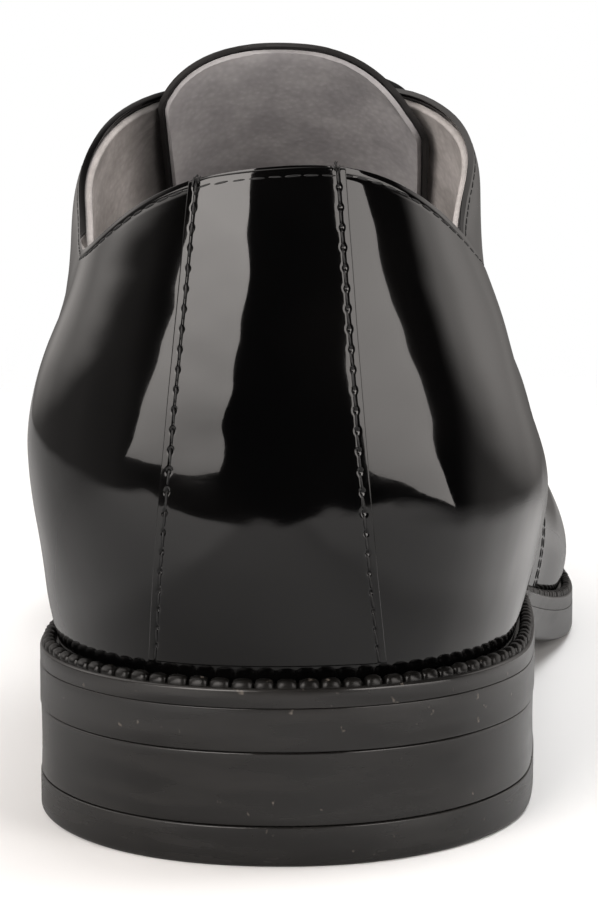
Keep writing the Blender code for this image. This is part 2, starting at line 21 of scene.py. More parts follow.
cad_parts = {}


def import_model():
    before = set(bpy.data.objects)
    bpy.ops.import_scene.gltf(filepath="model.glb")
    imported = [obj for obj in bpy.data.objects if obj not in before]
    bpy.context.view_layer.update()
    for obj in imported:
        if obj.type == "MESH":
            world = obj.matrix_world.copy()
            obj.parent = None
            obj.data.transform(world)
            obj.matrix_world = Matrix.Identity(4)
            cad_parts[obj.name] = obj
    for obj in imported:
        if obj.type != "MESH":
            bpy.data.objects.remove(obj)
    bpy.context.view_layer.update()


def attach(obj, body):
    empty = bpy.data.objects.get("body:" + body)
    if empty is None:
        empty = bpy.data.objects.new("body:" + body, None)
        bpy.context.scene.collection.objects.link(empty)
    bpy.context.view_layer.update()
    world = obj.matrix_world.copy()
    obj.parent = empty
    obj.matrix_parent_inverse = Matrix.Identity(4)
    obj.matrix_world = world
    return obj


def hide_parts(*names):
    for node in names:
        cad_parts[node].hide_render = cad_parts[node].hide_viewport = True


MM = 0.001
LOG = logging.getLogger("dress_shoe")
Array = np.ndarray
Colour = tuple[float, float, float]
Drop = Callable[[float], float]
Material = bpy.types.Material
Node = bpy.types.Node
Pair = tuple[float, float]
Piece = bpy.types.Object
Socket = bpy.types.NodeSocket


class Side(Enum):
    """The two sides of a right shoe, by the sign of the across direction."""

    LATERAL = 1.0
    MEDIAL = -1.0

    @property
    def word(self) -> str:
        """Name of the side as the tables write it."""
        return self.name.lower()


class Slot(Enum):
    """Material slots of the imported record."""

    PATENT = "patent_leather"
    LINING = "lining_leather"
    RUBBER = "sole_rubber"
    CORD = "lace_cord"


def smooth_step(low: float, high: float, value: Array) -> Array:
    """Rise smoothly from 0 at the low value to 1 at the high one."""
    s = np.clip((value - low) / (high - low), 0.0, 1.0)
    return s * s * (3.0 - 2.0 * s)


def soften(values: Array, sigma: float, axis: int) -> Array:
    """Smooth a grid of points along one direction and keep its two ends in place.

    Args:
        values: Grid of points.
        sigma: Width of the smoothing, in grid steps.
        axis: Direction of the grid to smooth along.

    Returns:
        The smoothed grid.
    """
    if sigma <= 0.0:
        return values
    grid = np.moveaxis(values, axis, 0)
    reach = min(int(math.ceil(3.0 * sigma)), len(grid) - 1)
    kernel = np.exp(-0.5 * (np.arange(-reach, reach + 1) / sigma) ** 2)
    kernel /= kernel.sum()
    head = 2.0 * grid[:1] - grid[reach:0:-1]
    tail = 2.0 * grid[-1:] - grid[-2 : -reach - 2 : -1]
    padded = np.concatenate((head, grid, tail))
    total = np.zeros_like(grid)
    for k, weight in enumerate(kernel):
        total += weight * padded[k : k + len(grid)]
    return np.moveaxis(total, 0, axis)


def unit(vectors: Array) -> Array:
    """Scale vectors to length 1."""
    return vectors / np.linalg.norm(vectors, axis=-1, keepdims=True)


def running_length(points: Array) -> Array:
    """Length of a line up to each of its points."""
    return np.concatenate(([0.0], np.cumsum(np.linalg.norm(np.diff(points, axis=0), axis=1))))


def read_line(place: Array, knots: Array, points: Array) -> Array:
    """Points of a line at places between its knots."""
    return np.column_stack([np.interp(place, knots, column) for column in points.T])


class Table:
    """Stations along the shoe, one row each, read as smooth curves by column name."""

    def __init__(self, columns: str, rows: Sequence[Sequence[float]]) -> None:
        """Store the rows and work out a natural cubic curve for each column.

        Args:
            columns: Column names, separated by spaces. The first one is the place along.
            rows: One row of values for each station.
        """
        self.rows = np.array(rows, float)
        self.names = columns.split()
        self.knots = self.rows[:, 0]
        self.bends = natural_bends(self.knots, self.rows)

    def __call__(self, name: str, along: float | Array) -> float | Array:
        """Read a column.

        Args:
            name: Column name.
            along: Place along the shoe.

        Returns:
            The column's value there.
        """
        column = self.names.index(name)
        place = np.clip(along, self.knots[0], self.knots[-1])
        return cubic(self.knots, self.rows[:, column], self.bends[:, column], place)


def natural_bends(knots: Array, values: Array) -> Array:
    """Work out the second derivatives of natural cubic curves.

    Args:
        knots: Places of the values.
        values: One or more columns of values.

    Returns:
        Second derivatives at the knots.
    """
    inner = np.arange(1, len(knots) - 1)
    steps = np.diff(knots)
    matrix = np.eye(len(knots))
    matrix[inner, inner - 1] = steps[:-1]
    matrix[inner, inner] = 2.0 * (steps[:-1] + steps[1:])
    matrix[inner, inner + 1] = steps[1:]
    right = np.zeros_like(values)
    right[inner] = 6.0 * np.diff(np.diff(values, axis=0) / steps[:, None], axis=0)
    return np.linalg.solve(matrix, right)


def cubic(knots: Array, values: Array, bends: Array, place: Array) -> Array:
    """Evaluate a cubic curve.

    Args:
        knots: Places of the values.
        values: Values at the knots.
        bends: Second derivatives at the knots.
        place: Places to read.

    Returns:
        The curve's values.
    """
    i = np.clip(np.searchsorted(knots, place, side="right") - 1, 0, len(knots) - 2)
    step = knots[i + 1] - knots[i]
    a = (knots[i + 1] - place) / step
    b = 1.0 - a
    bend = (a**3 - a) * bends[i] + (b**3 - b) * bends[i + 1]
    return a * values[i] + b * values[i + 1] + bend * step**2 / 6.0


def read_curve(place: Array, knots: Array, points: Array) -> Array:
    """Points of the natural cubic curve through a line's points."""
    bends = natural_bends(knots, points)
    return np.column_stack([cubic(knots, points[:, k], bends[:, k], place) for k in range(points.shape[1])])


# Outline of the sole from above: half widths from the heel's middle line, and how far the
# foot of the upper stands in from the edge
PLAN = Table(
    "along medial lateral margin",
    (
        (0.0, 0.0, 0.0, 2.7),
        (2.0, 11.6, 11.6, 2.7),
        (6.0, 19.0, 19.1, 2.7),
        (12.0, 25.3, 25.6, 2.7),
        (20.0, 30.4, 30.9, 2.7),
        (30.0, 33.8, 34.6, 2.7),
        (42.0, 35.0, 36.2, 2.7),
        (60.0, 34.8, 36.9, 2.7),
        (80.0, 34.0, 36.8, 2.7),
        (100.0, 33.4, 37.2, 2.7),
        (120.0, 34.6, 38.9, 2.7),
        (140.0, 38.6, 42.2, 2.7),
        (160.0, 44.2, 46.2, 2.7),
        (180.0, 49.4, 48.9, 2.8),
        (196.0, 51.9, 49.1, 2.9),
        (212.0, 52.5, 47.6, 3.0),
        (230.0, 51.4, 44.2, 3.2),
        (250.0, 48.0, 38.6, 3.4),
        (270.0, 42.0, 30.8, 3.4),
        (286.0, 34.4, 21.6, 3.4),
        (296.0, 26.3, 12.4, 3.4),
        (301.5, 18.0, 3.8, 3.4),
        (304.0, 7.0, -7.0, 3.4),
    ),
)

# Form of the upper: how far and how high it swells past its foot on each side, height of the
# crown line, exponents of the section across and upward, hollow under the ankle, and the
# crown's place across
LAST = Table(
    "along out_medial out_lateral rise_medial rise_lateral crown across up_medial up_lateral"
    " hollow_medial hollow_lateral ridge",
    (
        (0.0, 3.8, 3.8, 20.0, 20.0, 179.0, 1.20, 1.80, 1.80, 0.0, 0.0, 0.0),
        (14.0, 3.9, 3.8, 22.0, 22.0, 142.0, 1.20, 1.78, 1.75, 0.0, 0.0, 0.0),
        (28.0, 4.0, 3.7, 25.0, 24.0, 122.0, 1.20, 1.75, 1.65, 0.0, 0.0, 0.0),
        (42.0, 4.2, 3.8, 27.0, 23.0, 114.0, 1.22, 1.78, 1.58, 0.0, 0.8, 0.0),
        (60.0, 4.8, 4.0, 27.0, 20.0, 116.0, 1.35, 2.10, 1.60, 0.0, 2.8, -1.0),
        (88.0, 6.4, 4.2, 26.0, 17.0, 125.0, 1.75, 3.00, 1.90, 0.0, 4.2, -2.4),
        (104.0, 7.2, 4.0, 25.0, 16.0, 115.0, 2.35, 3.90, 2.40, 0.0, 5.4, -2.9),
        (120.0, 6.6, 3.2, 23.0, 15.0, 102.0, 2.45, 3.40, 2.40, 0.0, 4.6, -3.2),
        (150.0, 3.6, 2.2, 18.0, 13.0, 80.0, 2.20, 2.40, 1.95, 0.0, 1.8, -4.0),
        (190.0, 2.6, 1.6, 13.0, 8.0, 60.0, 2.10, 2.05, 1.55, 0.0, 0.4, -5.0),
        (225.0, 2.2, 1.6, 12.0, 9.0, 49.8, 2.10, 2.00, 1.75, 0.0, 0.0, -6.2),
        (245.0, 2.0, 1.5, 11.2, 10.2, 46.8, 2.15, 2.05, 1.98, 0.0, 0.0, -6.8),
        (256.0, 1.9, 1.9, 11.0, 11.0, 46.2, 2.20, 2.10, 2.10, 0.0, 0.0, -7.0),
        (272.0, 1.9, 1.9, 11.0, 11.0, 46.2, 2.25, 2.10, 2.10, 0.0, 0.0, -7.0),
    ),
)

# Height of the top edge on each side
TOPLINE = Table(
    "along medial lateral",
    (
        (0.0, 91.0, 91.0),
        (2.4, 90.6, 90.6),
        (6.0, 88.9, 88.9),
        (10.2, 86.3, 86.3),
        (15.2, 83.3, 83.3),
        (21.5, 80.8, 80.6),
        (29.0, 79.3, 78.6),
        (40.0, 78.6, 77.0),
        (52.0, 79.0, 77.2),
        (64.0, 81.0, 79.6),
        (76.0, 85.6, 84.6),
        (86.0, 91.2, 90.6),
        (94.0, 96.8, 96.4),
        (101.0, 102.3, 102.0),
        (108.0, 108.3, 108.2),
        (116.0, 116.0, 116.0),
        (126.0, 128.0, 128.0),
    ),
)


@dataclass(frozen=True)
class SoleForm:
    """Outline and layer heights of the sole, in millimetres."""

    length: float = 304.0
    gap: float = 0.3
    top_piece_line: float = 5.4
    lift_line: float = 15.1
    sole_line: float = 21.0
    welt_top: float = 23.6
    breast_along: float = 68.0
    breast_hollow: float = 4.0
    seat_end: float = 70.0
    tread_start: float = 184.0
    tread_end: float = 228.0
    toe_spring: float = 9.0
    heel_centre: float = 42.0
    toe_centre: float = 256.0
    origin_across: float = -1.7
    back_overhang: float = 2.3
    outline_steps: int = 3600
    edge_steps: tuple[int, int, int] = (44, 110, 40)
    breast_steps: int = 40

    @property
    def origin(self) -> Array:
        """Place of the frame's origin in the shoe's own measures."""
        return np.array((self.origin_across, (self.length - self.back_overhang) / 2.0, 0.0))

    @cached_property
    def outline(self) -> tuple[Array, Array]:
        """Points and outward normals round the sole, from the back by the lateral side."""
        rows = PLAN.rows
        lateral = np.column_stack((rows[:, 2], rows[:, 0]))
        medial = np.column_stack((-rows[-2:0:-1, 1], rows[-2:0:-1, 0]))
        corners = np.vstack((lateral, medial))
        size = len(corners)
        turns = np.vstack((corners, corners, corners, corners[:1]))
        knots = running_length(turns)
        place = np.linspace(knots[size], knots[2 * size], self.outline_steps, endpoint=False)
        points = read_curve(place, knots, turns)
        heading = unit(np.roll(points, -1, axis=0) - np.roll(points, 1, axis=0))
        return points, np.column_stack((heading[:, 1], -heading[:, 0]))

    def moved_in(self, inset: float | Callable) -> Array:
        """Move the outline in, starting at the back.

        Args:
            inset: Distance, or a function of the place along that gives it.

        Returns:
            Points of the closed line.
        """
        points, outward = self.outline
        amount = inset(points[:, 1]) if callable(inset) else inset
        moved = points - outward * np.reshape(amount, (-1, 1))
        return np.roll(moved, -int(np.argmin(moved[:, 1])), axis=0)

    def sides(self, inset: float | Callable) -> tuple[Array, Array]:
        """Split the moved-in outline into its lateral and medial sides, from back to tip."""
        points = self.moved_in(inset)
        tip = int(np.argmax(points[:, 1]))
        return points[: tip + 1], np.vstack((points[tip:], points[:1]))[::-1]

    def stations(self, heel: int, middle: int, toe: int) -> Array:
        """Spread stations over the length, closer together at both round ends.

        Args:
            heel: Steps round the heel.
            middle: Steps along the middle.
            toe: Steps round the toe.

        Returns:
            Shares of the length from back to tip.
        """
        back = self.heel_centre / self.length
        front = self.toe_centre / self.length
        turn = np.linspace(0.0, math.pi / 2.0, heel + 1)
        end = np.linspace(0.0, math.pi / 2.0, toe + 1)
        run = np.linspace(back, front, middle + 1)
        return np.concatenate((back * (1.0 - np.cos(turn)), run[1:-1], front + (1.0 - front) * np.sin(end)))

    def side_points(self, shares: Array, inset: float | Callable, end: float | None = None) -> list[Array]:
        """Place points on both sides of the moved-in outline.

        Args:
            shares: Shares of the way from the back.
            inset: Distance in from the outline, or a function that gives it.
            end: Place along where the way ends, at the tip if absent.

        Returns:
            Points of the lateral side, then of the medial side.
        """
        sides = self.sides(inset)
        back = sides[0][0, 1]
        along = back + shares * ((sides[0][-1, 1] if end is None else end) - back)
        return [np.column_stack((np.interp(along, line[:, 1], line[:, 0]), along)) for line in sides]

    def ring(self, shares: Array, inset: float | Callable) -> Array:
        """Place points round the moved-in outline: back, lateral side, tip, medial side."""
        lateral, medial = self.side_points(shares, inset)
        return np.vstack((lateral, medial[-2:0:-1]))

    def tread_height(self, along: Array) -> Array:
        """Height of the bottom of the outsole at a place along."""
        seat = self.lift_line + self.gap / 2.0
        waist = seat * (1.0 - smooth_step(self.seat_end, self.tread_start, along))
        toe = np.clip((along - self.tread_end) / (self.length - self.tread_end), 0.0, 1.0)
        return waist + self.toe_spring * toe**1.8

    def layer_height(self, level: float, along: Array) -> Array:
        """Height at a place along of a layer that is given by its level at the heel."""
        return self.tread_height(along) + level - self.lift_line - self.gap / 2.0

    def layer_ring(self, shares: Array, inset: float | Callable, level: float) -> Array:
        """Ring of the sole's outline lying on a layer."""
        flat = self.ring(shares, inset)
        return np.column_stack((flat, self.layer_height(level, flat[:, 1])))

    def heel_ring(self, shares: Array, inset: float, height: float) -> Array:
        """Ring of the heel at a height, closed by its hollowed front.

        Args:
            shares: Shares of the heel's length.
            inset: Distance in from the outline.
            height: Height of the ring.

        Returns:
            Points round the heel.
        """
        outer, inner = self.side_points(shares, inset, self.breast_along - inset)
        across = np.linspace(outer[-1, 0], inner[-1, 0], self.breast_steps + 1)[1:-1]
        middle = (outer[-1, 0] + inner[-1, 0]) / 2.0
        half = outer[-1, 0] - middle
        hollow = self.breast_hollow * (1.0 - ((across - middle) / half) ** 2)
        front = np.column_stack((across, outer[-1, 1] - hollow))
        flat = np.vstack((outer, front, inner[-1:0:-1]))
        return np.column_stack((flat, np.full(len(flat), height)))


@dataclass(frozen=True)
class LastForm:
    """Surface of the quarters' outer face over the last, in millimetres."""

    sole: SoleForm
    sweep_length: float = 10.0
    throat_along: float = 152.0
    throat_half_gap: float = 9.0
    facing_half_gap: float = 13.0
    facing_top: float = 110.0
    step_run: float = 0.9
    corner_sharpness: float = 30.0
    topline_tilt: float = 0.085
    tilt_end: float = 28.0
    softness: float = 2.2

    def margin(self, along: Array) -> Array:
        """Distance of the upper's foot from the sole's edge."""
        return PLAN("margin", along)

    def sweep(self, along: float | Array) -> float | Array:
        """Place where the section that starts at a point of the foot line reaches the crown."""
        heel = self.sole.heel_centre
        toe = self.sole.toe_centre
        share = np.clip((along - heel) / (toe - heel), 0.0, 1.0)
        return np.clip(along + self.sweep_length * np.sin(math.pi * share) ** 2, heel, toe)

    def unsweep(self, crown_along: float) -> float:
        """Foot-line place of the section that reaches the crown at a point."""
        feet = np.linspace(self.sole.heel_centre, self.sole.toe_centre, 1600)
        return float(np.interp(crown_along, self.sweep(feet), feet))

    def half_gap(self, crown_along: float) -> float:
        """Half the width of the open front, or 0 where the vamp closes it."""
        if crown_along > self.throat_along - self.step_run / 2.0:
            return 0.0
        share = (self.throat_along - crown_along) / (self.throat_along - self.facing_top)
        return self.throat_half_gap + (self.facing_half_gap - self.throat_half_gap) * share

    @cached_property
    def foot_sides(self) -> dict[Side, Array]:
        """Foot line of the upper on each side, from back to tip."""
        lateral, medial = self.sole.sides(self.margin)
        return {Side.LATERAL: lateral, Side.MEDIAL: medial}

    def foot(self, side: Side, along: float) -> Pair:
        """Point of the foot line at a place along."""
        line = self.foot_sides[side]
        return float(np.interp(along, line[:, 1], line[:, 0])), along

    def section_at_crown(self, side: Side, crown_along: float) -> Section:
        """Section that reaches the crown at a place along."""
        return Section(self, side, self.foot(side, self.unsweep(crown_along)))

    def route(self, start: float, end: float, spacing: float) -> list[tuple[Side, Pair]]:
        """Walk along the foot line round the heel or round the toe.

        Args:
            start: Foot-line place of the walk's two ends.
            end: Back or tip of the foot line, where the sides meet.
            spacing: Distance between steps.

        Returns:
            Side and foot point of each step, from the lateral to the medial end.
        """
        steps = []
        count = 0
        for side in Side:
            line = self.foot_sides[side][:: -1 if end < start else 1]
            keep = line[:, 1] < start if end < start else line[:, 1] > start
            points = np.vstack((self.foot(side, start), line[keep], line[-1:]))
            length = running_length(points)
            count = count or int(round(length[-1] / spacing))
            places = read_line(np.linspace(0.0, length[-1], count + 1), length, points)
            steps.append([(side, tuple(place)) for place in places])
        return steps[0] + steps[1][-2::-1]

    def columns(self, route: Iterable, shares: Array, drop: Drop | None = None) -> Array:
        """Work out a grid of surface points.

        Args:
            route: Sides and foot points, one column each.
            shares: Shares of the girth from the foot to the top edge.
            drop: Distance to stop short of the top edge, by the place along the crown.

        Returns:
            Points by column and share.
        """
        sections = [Section(self, side, foot) for side, foot in route]
        drops = [drop(section.crown_along) if drop else 0.0 for section in sections]
        return np.array([section.profile(shares, d) for section, d in zip(sections, drops)])


class Section:
    """One upright section of the upper, from its foot to the crown, on one side."""

    def __init__(self, form: LastForm, side: Side, foot: Pair, open_front: bool = True) -> None:
        """Work out the section that starts at a point of the foot line.

        Args:
            form: Surface the section belongs to.
            side: Side of the shoe.
            foot: Point of the foot line, across and along.
            open_front: Whether the section ends at the open front's edge.
        """
        across, along = foot
        word = side.word
        self.form = form
        self.open_front = open_front
        self.crown_along = float(form.sweep(along))
        key = along if along < form.sole.heel_centre else self.crown_along
        self.origin = np.array((float(LAST("ridge", self.crown_along)), self.crown_along))
        self.span = np.array(foot) - self.origin
        self.reach = float(np.linalg.norm(self.span))
        self.bow = 2.0 if form.sole.heel_centre < along < form.sole.toe_centre else 1.0
        self.low = float(form.sole.layer_height(form.sole.welt_top + form.sole.gap, along))
        self.swell = self.low + float(LAST("rise_" + word, key))
        self.hollow = float(LAST("hollow_" + word, key))
        self.out = float(LAST("out_" + word, key))
        self.wide = self.reach + self.out
        self.crown = float(LAST("crown", key))
        self.across = float(LAST("across", key))
        self.up = float(LAST("up_" + word, key))
        fade = max(0.0, 1.0 - (along / form.tilt_end) ** 2)
        self.top = float(TOPLINE(word, along)) + form.topline_tilt * across * fade

    def turn_at_height(self, height: float) -> float:
        """Section's turn where it reaches a height."""
        share = np.clip((height - self.swell) / (self.crown - self.swell), 0.0, 1.0)
        return math.asin(share ** (self.up / 2.0))

    def turn_at_reach(self, reach: Array) -> Array:
        """Section's turn at distances from the crown line."""
        return np.arccos(np.minimum(1.0, np.asarray(reach) / self.wide) ** (self.across / 2.0))

    def end_turn(self) -> float:
        """Turn at the top edge, the facing edge or the crown."""
        gap = self.form.half_gap(self.crown_along) if self.open_front else 0.0
        collar = self.turn_at_height(self.top)
        if gap == 0.0:
            return collar
        facing = float(self.turn_at_reach(gap))
        sharp = self.form.corner_sharpness
        return min(collar, facing) - math.log(1.0 + math.exp(-sharp * abs(collar - facing))) / sharp

    def place(self, reach: Array, height: Array) -> Array:
        """Points at distances from the crown line and heights."""
        share = np.asarray(reach) / self.reach
        across = self.origin[0] + self.span[0] * share
        along = self.origin[1] + self.span[1] * share**self.bow
        return np.column_stack((across, along, height))

    def arc(self, turn: Array) -> Array:
        """Points of the part above the swell."""
        turn = np.atleast_1d(turn)
        share = np.sin(turn) ** (2.0 / self.up)
        reach = self.wide * np.abs(np.cos(turn)) ** (2.0 / self.across)
        reach = reach - self.hollow * np.sin(math.pi * share) ** 2
        reach = np.where(turn > math.pi / 2.0 - 1e-6, 0.0, reach)
        return self.place(reach, self.swell + (self.crown - self.swell) * share)

    def profile(self, shares: Array, drop: float = 0.0) -> Array:
        """Points at shares of the girth.

        Args:
            shares: Shares from the foot to the end of the section.
            drop: Distance to stop short of the end, where the section doesn't close at the crown.

        Returns:
            One point for each share.
        """
        s = np.linspace(0.0, 1.0, 120)
        swelling = self.reach + self.out * (1.0 - (1.0 - s) ** 2)
        lower = self.place(swelling, self.low + (self.swell - self.low) * s)
        end = self.end_turn()
        points = np.vstack((lower, self.arc(np.linspace(0.0, end, 360))[1:]))
        length = running_length(points)
        even = np.linspace(0.0, length[-1], 300)
        points = soften(read_line(even, length, points), self.form.softness / even[1], 0)
        closed = end > math.pi / 2.0 - 1e-6
        girth = even[-1] if closed else even[-1] - drop
        return read_line(shares * girth, even, points)


class Patch:
    """A grid of surface points with their outward normals, in millimetres."""

    def __init__(self, points: Array, outward: Array | Sequence[float] | None = None) -> None:
        """Store the points and work out the normals.

        Args:
            points: Grid of points.
            outward: Rough outward direction, for all points or each. Away from the grid's middle if absent.
        """
        self.points = points
        cross = np.cross(np.gradient(points, axis=0), np.gradient(points, axis=1))
        size = np.linalg.norm(cross, axis=2, keepdims=True)
        normals = cross / np.maximum(size, 1e-9)
        guide = points - points.reshape(-1, 3).mean(axis=0) if outward is None else np.asarray(outward)
        if (normals * guide).sum() < 0.0:
            normals = -normals
        self.normals = normals

    def raised(self, lift: float | Array) -> Array:
        """Points moved out along the normals."""
        return self.points + self.normals * np.asarray(lift)[..., None]

    def lifted(self, lift: float | Array) -> Patch:
        """Patch moved out along the normals, facing the same way."""
        return Patch(self.raised(lift), self.normals)

    @cached_property
    def from_end(self) -> Array:
        """Distance of each point from its column's last point, over the surface."""
        step = np.linalg.norm(np.diff(self.points, axis=1), axis=2)
        back = np.cumsum(step[:, ::-1], axis=1)[:, ::-1]
        return np.concatenate((back, np.zeros((len(back), 1))), axis=1)

    def rows_at(self, columns: Iterable[float], distance: float) -> Array:
        """Rows, in grid steps, that lie a distance from the end of some columns."""
        rows = np.arange(self.points.shape[1])[::-1]
        return np.array([np.interp(distance, self.from_end[int(i), ::-1], rows) for i in columns])

    def at(self, u: Array, v: Array) -> tuple[Array, Array]:
        """Read points and normals between the grid's knots.

        Args:
            u: Places along the first direction, in grid steps.
            v: Places along the second direction, in grid steps.

        Returns:
            Points and unit normals.
        """
        i = np.clip(np.floor(u).astype(int), 0, self.points.shape[0] - 2)
        j = np.clip(np.floor(v).astype(int), 0, self.points.shape[1] - 2)
        a = (np.asarray(u) - i)[:, None]
        b = (np.asarray(v) - j)[:, None]
        out = []
        for grid in (self.points, self.normals):
            low = grid[i, j] * (1.0 - a) + grid[i + 1, j] * a
            high = grid[i, j + 1] * (1.0 - a) + grid[i + 1, j + 1] * a
            out.append(low * (1.0 - b) + high * b)
        return out[0], unit(out[1])


@dataclass(frozen=True)
class LeatherWaves:
    """Slight unevenness of the leather, which makes reflections wander."""

    lengths: tuple[float, ...] = (18.0, 8.5, 4.2)
    depths: tuple[float, ...] = (0.15, 0.085, 0.024)

    def apply(self, patch: Patch) -> Patch:
        """Move a patch's points along their normals by the unevenness."""
        flat = patch.points.reshape(-1, 3)
        lift = np.zeros(len(flat))
        for length, depth in zip(self.lengths, self.depths):
            lift += depth * np.array([noise.noise(Vector(p)) for p in flat / length])
        return patch.lifted(lift.reshape(patch.points.shape[:2]))


class Bench:
    """Modelling steps done with Blender's operators."""

    RIM = "rim"
    # Mark of painted shade: a lining is darkened where a neighbouring part would cast its shadow
    DEEP = "deep"
    WELD = 2e-6
    EDGE_ANGLE = math.radians(50.0)
    HOLE_DEPTH = 12.0
    HOLE_STEPS = 24
    SAMPLES = 60
    FOLD_SHARES = (1.0, 0.97, 0.85, 0.5)
    POINT_SHARES = (1.0, 0.9, 0.3)

    def __init__(self, origin: Array) -> None:
        """Keep the place of the frame's origin, in the shoe's own measures."""
        self.origin = origin

    def metres(self, points: Array) -> Array:
        """Points in the frame, in metres."""
        return (np.asarray(points) - self.origin) * MM

    @staticmethod
    def deselect() -> None:
        """Deselect every object."""
        bpy.ops.object.select_all(action="DESELECT")

    @staticmethod
    def activate(piece: Piece) -> None:
        """Select one object alone and make it active."""
        Bench.deselect()
        piece.select_set(True)
        bpy.context.view_layer.objects.active = piece

    @staticmethod
    def in_edit_mode(piece: Piece, *steps: Callable[[], object]) -> None:
        """Run steps on all of a piece's mesh in edit mode."""
        Bench.activate(piece)
        bpy.ops.object.mode_set(mode="EDIT")
        bpy.ops.mesh.select_all(action="SELECT")
        for step in steps:
            step()
        bpy.ops.object.mode_set(mode="OBJECT")

    def grid(self, name: str, points: Array, outward: Array | None, merge: bool = False) -> Piece:
        """Add a grid and lay it on a surface.

        Args:
            name: Name of the piece.
            points: Surface points by column and row.
            outward: Outward direction at each point, or None for a closed mesh.
            merge: Whether columns or rows that meet are welded.

        Returns:
            The new object.
        """
        self.deselect()
        columns, rows = points.shape[:2]
        bpy.ops.mesh.primitive_grid_add(x_subdivisions=columns - 1, y_subdivisions=rows - 1, size=2.0)
        piece = bpy.context.active_object
        piece.name = name
        mesh = piece.data
        mesh.name = name
        flat = np.empty(len(mesh.vertices) * 3)
        mesh.vertices.foreach_get("co", flat)
        flat = flat.reshape(-1, 3)
        i = np.rint((flat[:, 0] + 1.0) / 2.0 * (columns - 1)).astype(int)
        j = np.rint((flat[:, 1] + 1.0) / 2.0 * (rows - 1)).astype(int)
        mesh.vertices.foreach_set("co", self.metres(points[i, j]).ravel())
        mesh.update()
        if merge:
            self.in_edit_mode(piece, lambda: bpy.ops.mesh.remove_doubles(threshold=self.WELD))
        if outward is None:
            self.in_edit_mode(piece, lambda: bpy.ops.mesh.normals_make_consistent(inside=False))
        else:
            self.face_out(piece, points, outward)
        return piece

    def mark(self, piece: Piece, name: str, edge: Array, reach: float, power: float = 1.5) -> None:
        """Store on each vertex how near it lies to an edge, 1 at the edge and less farther in.

        Args:
            piece: Object to mark.
            name: Name of the attribute.
            edge: Points of the edge.
            reach: Distance over which the mark fades, in millimetres.
            power: How suddenly it fades.
        """
        tree = KDTree(len(edge))
        for number, point in enumerate(self.metres(edge)):
            tree.insert(point, number)
        tree.balance()
        far = np.array([tree.find(vert.co)[2] for vert in piece.data.vertices])
        mark = piece.data.attributes.new(name, "FLOAT", "POINT")
        mark.data.foreach_set("value", np.exp(-((far / (reach * MM)) ** power)))

    def face_out(self, piece: Piece, points: Array, outward: Array) -> None:
        """Turn an open grid's faces to the outward side.

        Args:
            piece: Object made from the grid.
            points: Points of the grid.
            outward: Outward direction at each point.
        """
        faces = piece.data.polygons
        flat = self.metres(points).reshape(-1, 3)
        guide = outward.reshape(-1, 3)
        total = 0.0
        for face in list(faces)[:: max(1, len(faces) // self.SAMPLES)]:
            nearest = int(np.argmin(((flat - np.array(face.center)) ** 2).sum(axis=1)))
            total += float(np.dot(face.normal, guide[nearest]))
        if total < 0.0:
            self.in_edit_mode(piece, bpy.ops.mesh.flip_normals)

    @staticmethod
    def apply_modifier(piece: Piece, kind: str, **values: object) -> None:
        """Add a modifier with its values and apply it."""
        Bench.activate(piece)
        modifier = piece.modifiers.new(kind.lower(), kind)
        for name, value in values.items():
            setattr(modifier, name, value)
        bpy.ops.object.modifier_apply(modifier=modifier.name)

    @staticmethod
    def give_wall(piece: Piece, wall: float, edge: float, segments: int = 3) -> None:
        """Thicken an open shell inward and round its edges.

        Args:
            piece: Open shell with its faces outward.
            wall: Thickness in millimetres.
            edge: Width of the rounding in millimetres.
            segments: Steps of the rounding.
        """
        Bench.apply_modifier(piece, "SOLIDIFY", thickness=wall * MM, offset=-1.0, use_even_offset=False)
        limit = {"limit_method": "ANGLE", "angle_limit": Bench.EDGE_ANGLE}
        Bench.apply_modifier(piece, "BEVEL", width=edge * MM, segments=segments, **limit)

    def slab(self, name: str, top: Array, bottom: Array) -> Piece:
        """Add a closed thin piece between two surfaces that nearly meet at their edges.

        Args:
            name: Name of the piece.
            top: Points of the upper surface.
            bottom: Points of the lower surface, in the same order.

        Returns:
            The new object.
        """
        middle = (top + bottom) / 2.0
        around = np.concatenate((top, bottom[::-1], top[:1]))
        ends = np.concatenate((middle, middle[::-1], middle[:1]))
        points = np.concatenate((ends[:, :1], around, ends[:, -1:]), axis=1)
        return self.grid(name, points, None, merge=True)

    def stack(self, name: str, rings: list[Array], folded: bool) -> Piece:
        """Add a closed piece from rings that lie over each other.

        Args:
            name: Name of the piece.
            rings: Rings from bottom to top.
            folded: Whether the faces close to the line between a ring's two sides, not to a point.

        Returns:
            The new object.
        """
        shares = self.FOLD_SHARES if folded else self.POINT_SHARES
        faces = []
        for ring, order in ((rings[0], shares), (rings[-1], shares[::-1])):
            twin = np.roll(ring[::-1], 1, axis=0)
            middle = (ring + twin) / 2.0 if folded else ring.mean(axis=0)
            faces.append([ring * (1.0 - share) + middle * share for share in order])
        points = np.stack(faces[0] + rings + faces[1], axis=1)
        return self.grid(name, np.concatenate((points, points[:1])), None, merge=True)

